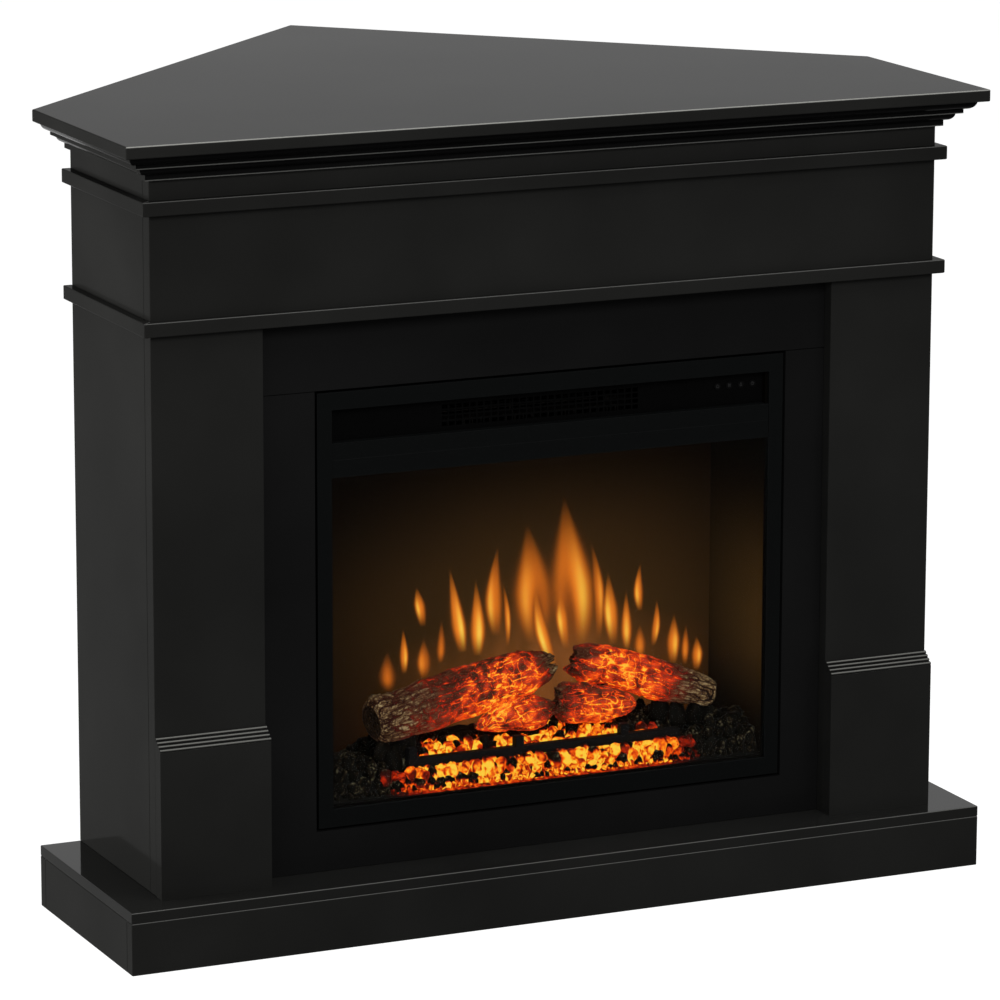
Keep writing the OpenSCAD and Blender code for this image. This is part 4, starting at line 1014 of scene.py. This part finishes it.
def make_shade_seal():
    """A soft dark strip with a round front, in the gap around the bezel's rim: partly a seal, partly a
    stand-in for the shade in that gap.
    """
    low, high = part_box("bezel")
    rear = high.y - SEAL_FROM_RIM
    profile = [(0.0, rear), (SEAL_WIDTH, rear)]
    for k in range(SEAL_STEPS):
        turn = math.pi * k / (SEAL_STEPS - 1)
        out = SEAL_WIDTH * (0.5 + 0.5 * math.cos(turn))
        profile.append((out, rear - SEAL_DEPTH - 0.5 * SEAL_WIDTH * math.sin(turn)))
    corners = [(low.x, low.z, -1, -1), (high.x, low.z, 1, -1), (high.x, high.z, 1, 1), (low.x, high.z, -1, 1)]
    points = [(x + side * out, y, z + rise * out) for x, z, side, rise in corners for out, y in profile]
    count = len(profile)
    faces = grid_faces(len(corners), count, closed=True)
    first, last = range(count), range(len(points) - count, len(points))
    faces += [(last[j], last[(j + 1) % count], first[(j + 1) % count], first[j]) for j in range(count)]
    piece = make_piece("gap_shade_seal", points, faces, SHADE_SEAL_FOAM, smooth=False, flip=True)


# ---------------- button icons

# The width of an icon's lines, and how far they stand out
ICON_STROKE, ICON_PROUD = 0.5 * MM, 0.08 * MM


def arc(radius, start, end, steps=24):
    """Points of an arc in mm, with angles in degrees."""
    turns = np.radians(np.linspace(start, end, steps))
    return [(radius * math.cos(a), radius * math.sin(a)) for a in turns]


def wave(x):
    """A wavy upright line, in mm."""
    return [(x + 0.35 * math.sin(2.2 * z), z) for z in np.linspace(-2, 2, 20)]


def tear():
    """The outline of a small flame, in mm."""
    turns = np.linspace(0, 2 * math.pi, 40)
    return [(1.5 * math.sin(t) * math.sin(0.5 * t) ** 0.8, 2.2 * math.cos(t)) for t in turns]


# Strokes of each body's icon: a switch sign, three heat waves, a flame and a clock
ICONS = {
    "standby": [arc(2, 125, 415), [(0, 0.4), (0, 2.4)]],
    "heat": [wave(-1.5), wave(0), wave(1.5)],
    "flame": [tear()],
    "timer": [arc(2, 0, 360, 40), [(0, 1.3), (0, 0), (1.0, 0)]],
}


def stroke(points, centre, face_y, verts, faces):
    """Adds a thin raised line through the points to verts and faces."""
    line = np.array(points) * MM
    along = np.gradient(line, axis=0)
    along /= np.linalg.norm(along, axis=1)[:, None] + 1e-9
    normal = np.stack([-along[:, 1], along[:, 0]], 1) * ICON_STROKE / 2
    for point, offset in zip(line, normal):
        for sign, depth in ((-1, 0), (1, 0), (1, -ICON_PROUD), (-1, -ICON_PROUD)):
            x, z = point + sign * offset
            verts.append((centre.x + x, face_y + depth, centre.z + z))
    count = len(line)
    start = len(verts) - 4 * count
    faces.append((start, start + 1, start + 2, start + 3))
    for i in range(count - 1):
        a = start + 4 * i
        for k in range(4):
            faces.append((a + k, a + 4 + k, a + 4 + (k + 1) % 4, a + (k + 1) % 4))
    last = start + 4 * (count - 1)
    faces.append((last + 3, last + 2, last + 1, last))


def make_icons():
    """A small printed sign on each button's face, which moves with it."""
    for body, strokes in ICONS.items():
        low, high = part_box(body + "_button")
        verts, faces = [], []
        for points in strokes:
            stroke(points, (low + high) / 2, low.y, verts, faces)
        piece = make_piece(body + "_icon", verts, faces, PRINT_GREY, body=body, smooth=False, flip=True)


# ---------------- studio

CAMERA_PLACE = (-2.9090, -6.6065, 2.0904)
CAMERA_YAW, CAMERA_PITCH, CAMERA_ROLL = -24.584, 12.720, 0.165
CAMERA_LENS = 196.52


def make_camera():
    data = bpy.data.cameras.new("camera")
    configure(data, lens=CAMERA_LENS, sensor_width=36, clip_end=100)
    camera = new_object("camera", data)
    turn = Matrix.Rotation(math.radians(CAMERA_YAW), 4, "Z")
    tilt = Matrix.Rotation(math.radians(90 - CAMERA_PITCH), 4, "X")
    roll = Matrix.Rotation(math.radians(CAMERA_ROLL), 4, "Z")
    camera.matrix_world = Matrix.Translation(CAMERA_PLACE) @ turn @ tilt @ roll
    bpy.context.scene.camera = camera


def seen_rays(tree):
    """1 for rays of the camera, of mirrors and through glass, and 0 for plain light."""
    path = add(tree, "LightPath").outputs
    seen = calc(tree, "ADD", path["Is Camera Ray"], path["Is Glossy Ray"], clamp=True)
    return calc(tree, "ADD", seen, path["Is Transmission Ray"], clamp=True)


# Strength of the world's light on the object; the world is white to the camera
WORLD_LIGHT = 0.5


def make_world():
    world = bpy.data.worlds.new("studio")
    bpy.context.scene.world = world
    world.use_nodes = True
    tree = world.node_tree
    strength = span(tree, seen_rays(tree), WORLD_LIGHT, 1.0)
    feed(tree, tree.nodes["Background"], Color=WHITE, Strength=strength)


FLOOR_HALF = 40.0
# The floor's own light where it is seen, and its colour for seen rays and for plain light
FLOOR_GLOW = 0.85
FLOOR_SEEN, FLOOR_BOUNCE = 0.32, 0.35


def make_floor():
    """A pale floor that is white to the camera and keeps the object's shadow."""
    mesh = bpy.data.meshes.new("floor")
    h = FLOOR_HALF
    mesh.from_pydata([(-h, -h, 0), (h, -h, 0), (h, h, 0), (-h, h, 0)], [], [(0, 1, 2, 3)])
    floor = new_object("floor", mesh)
    material, tree, shader = new_material("floor", Roughness=0.9, IOR=1.0, Emission_Color=WHITE)
    seen = seen_rays(tree)
    feed(tree, shader, Emission_Strength=multiply(tree, seen, FLOOR_GLOW),
         Base_Color=ramp(tree, seen, [(0.0, (FLOOR_BOUNCE,) * 3), (1.0, (FLOOR_SEEN,) * 3)]))
    mesh.materials.append(material)


def make_lamp(name, place_at, aim, size, power, mirrored=True):
    """A square lamp, which glossy surfaces show only if it is mirrored."""
    data = bpy.data.lights.new(name, "AREA")
    configure(data, shape="SQUARE", size=size, energy=power)
    turn = (Vector(aim) - Vector(place_at)).to_track_quat("-Z", "Y").to_euler()
    configure(new_object(name, data), location=place_at, rotation_euler=turn, visible_camera=False,
              visible_glossy=mirrored)


def make_lamps():
    make_lamp("left", (-4.2, 0.85, 0.7), (-0.5, 0.0, 0.5), 2.0, 240, mirrored=False)
    make_lamp("front", (-0.8, -4.0, 2.7), (0, 0, 0.5), 1.4, 92)
    make_lamp("above", (0.5, -1.5, 4.0), (0, 0, 1), 2.0, 38)


# ---------------- the scene


def build():
    make_camera()
    make_world()
    make_floor()
    make_lamps()
    dress_cad()
    make_logs()
    make_bed()
    make_rests()
    make_coals()
    make_flames()
    make_shade_seal()
    make_icons()
    bpy.context.scene.view_settings.view_transform = "Standard"


build()
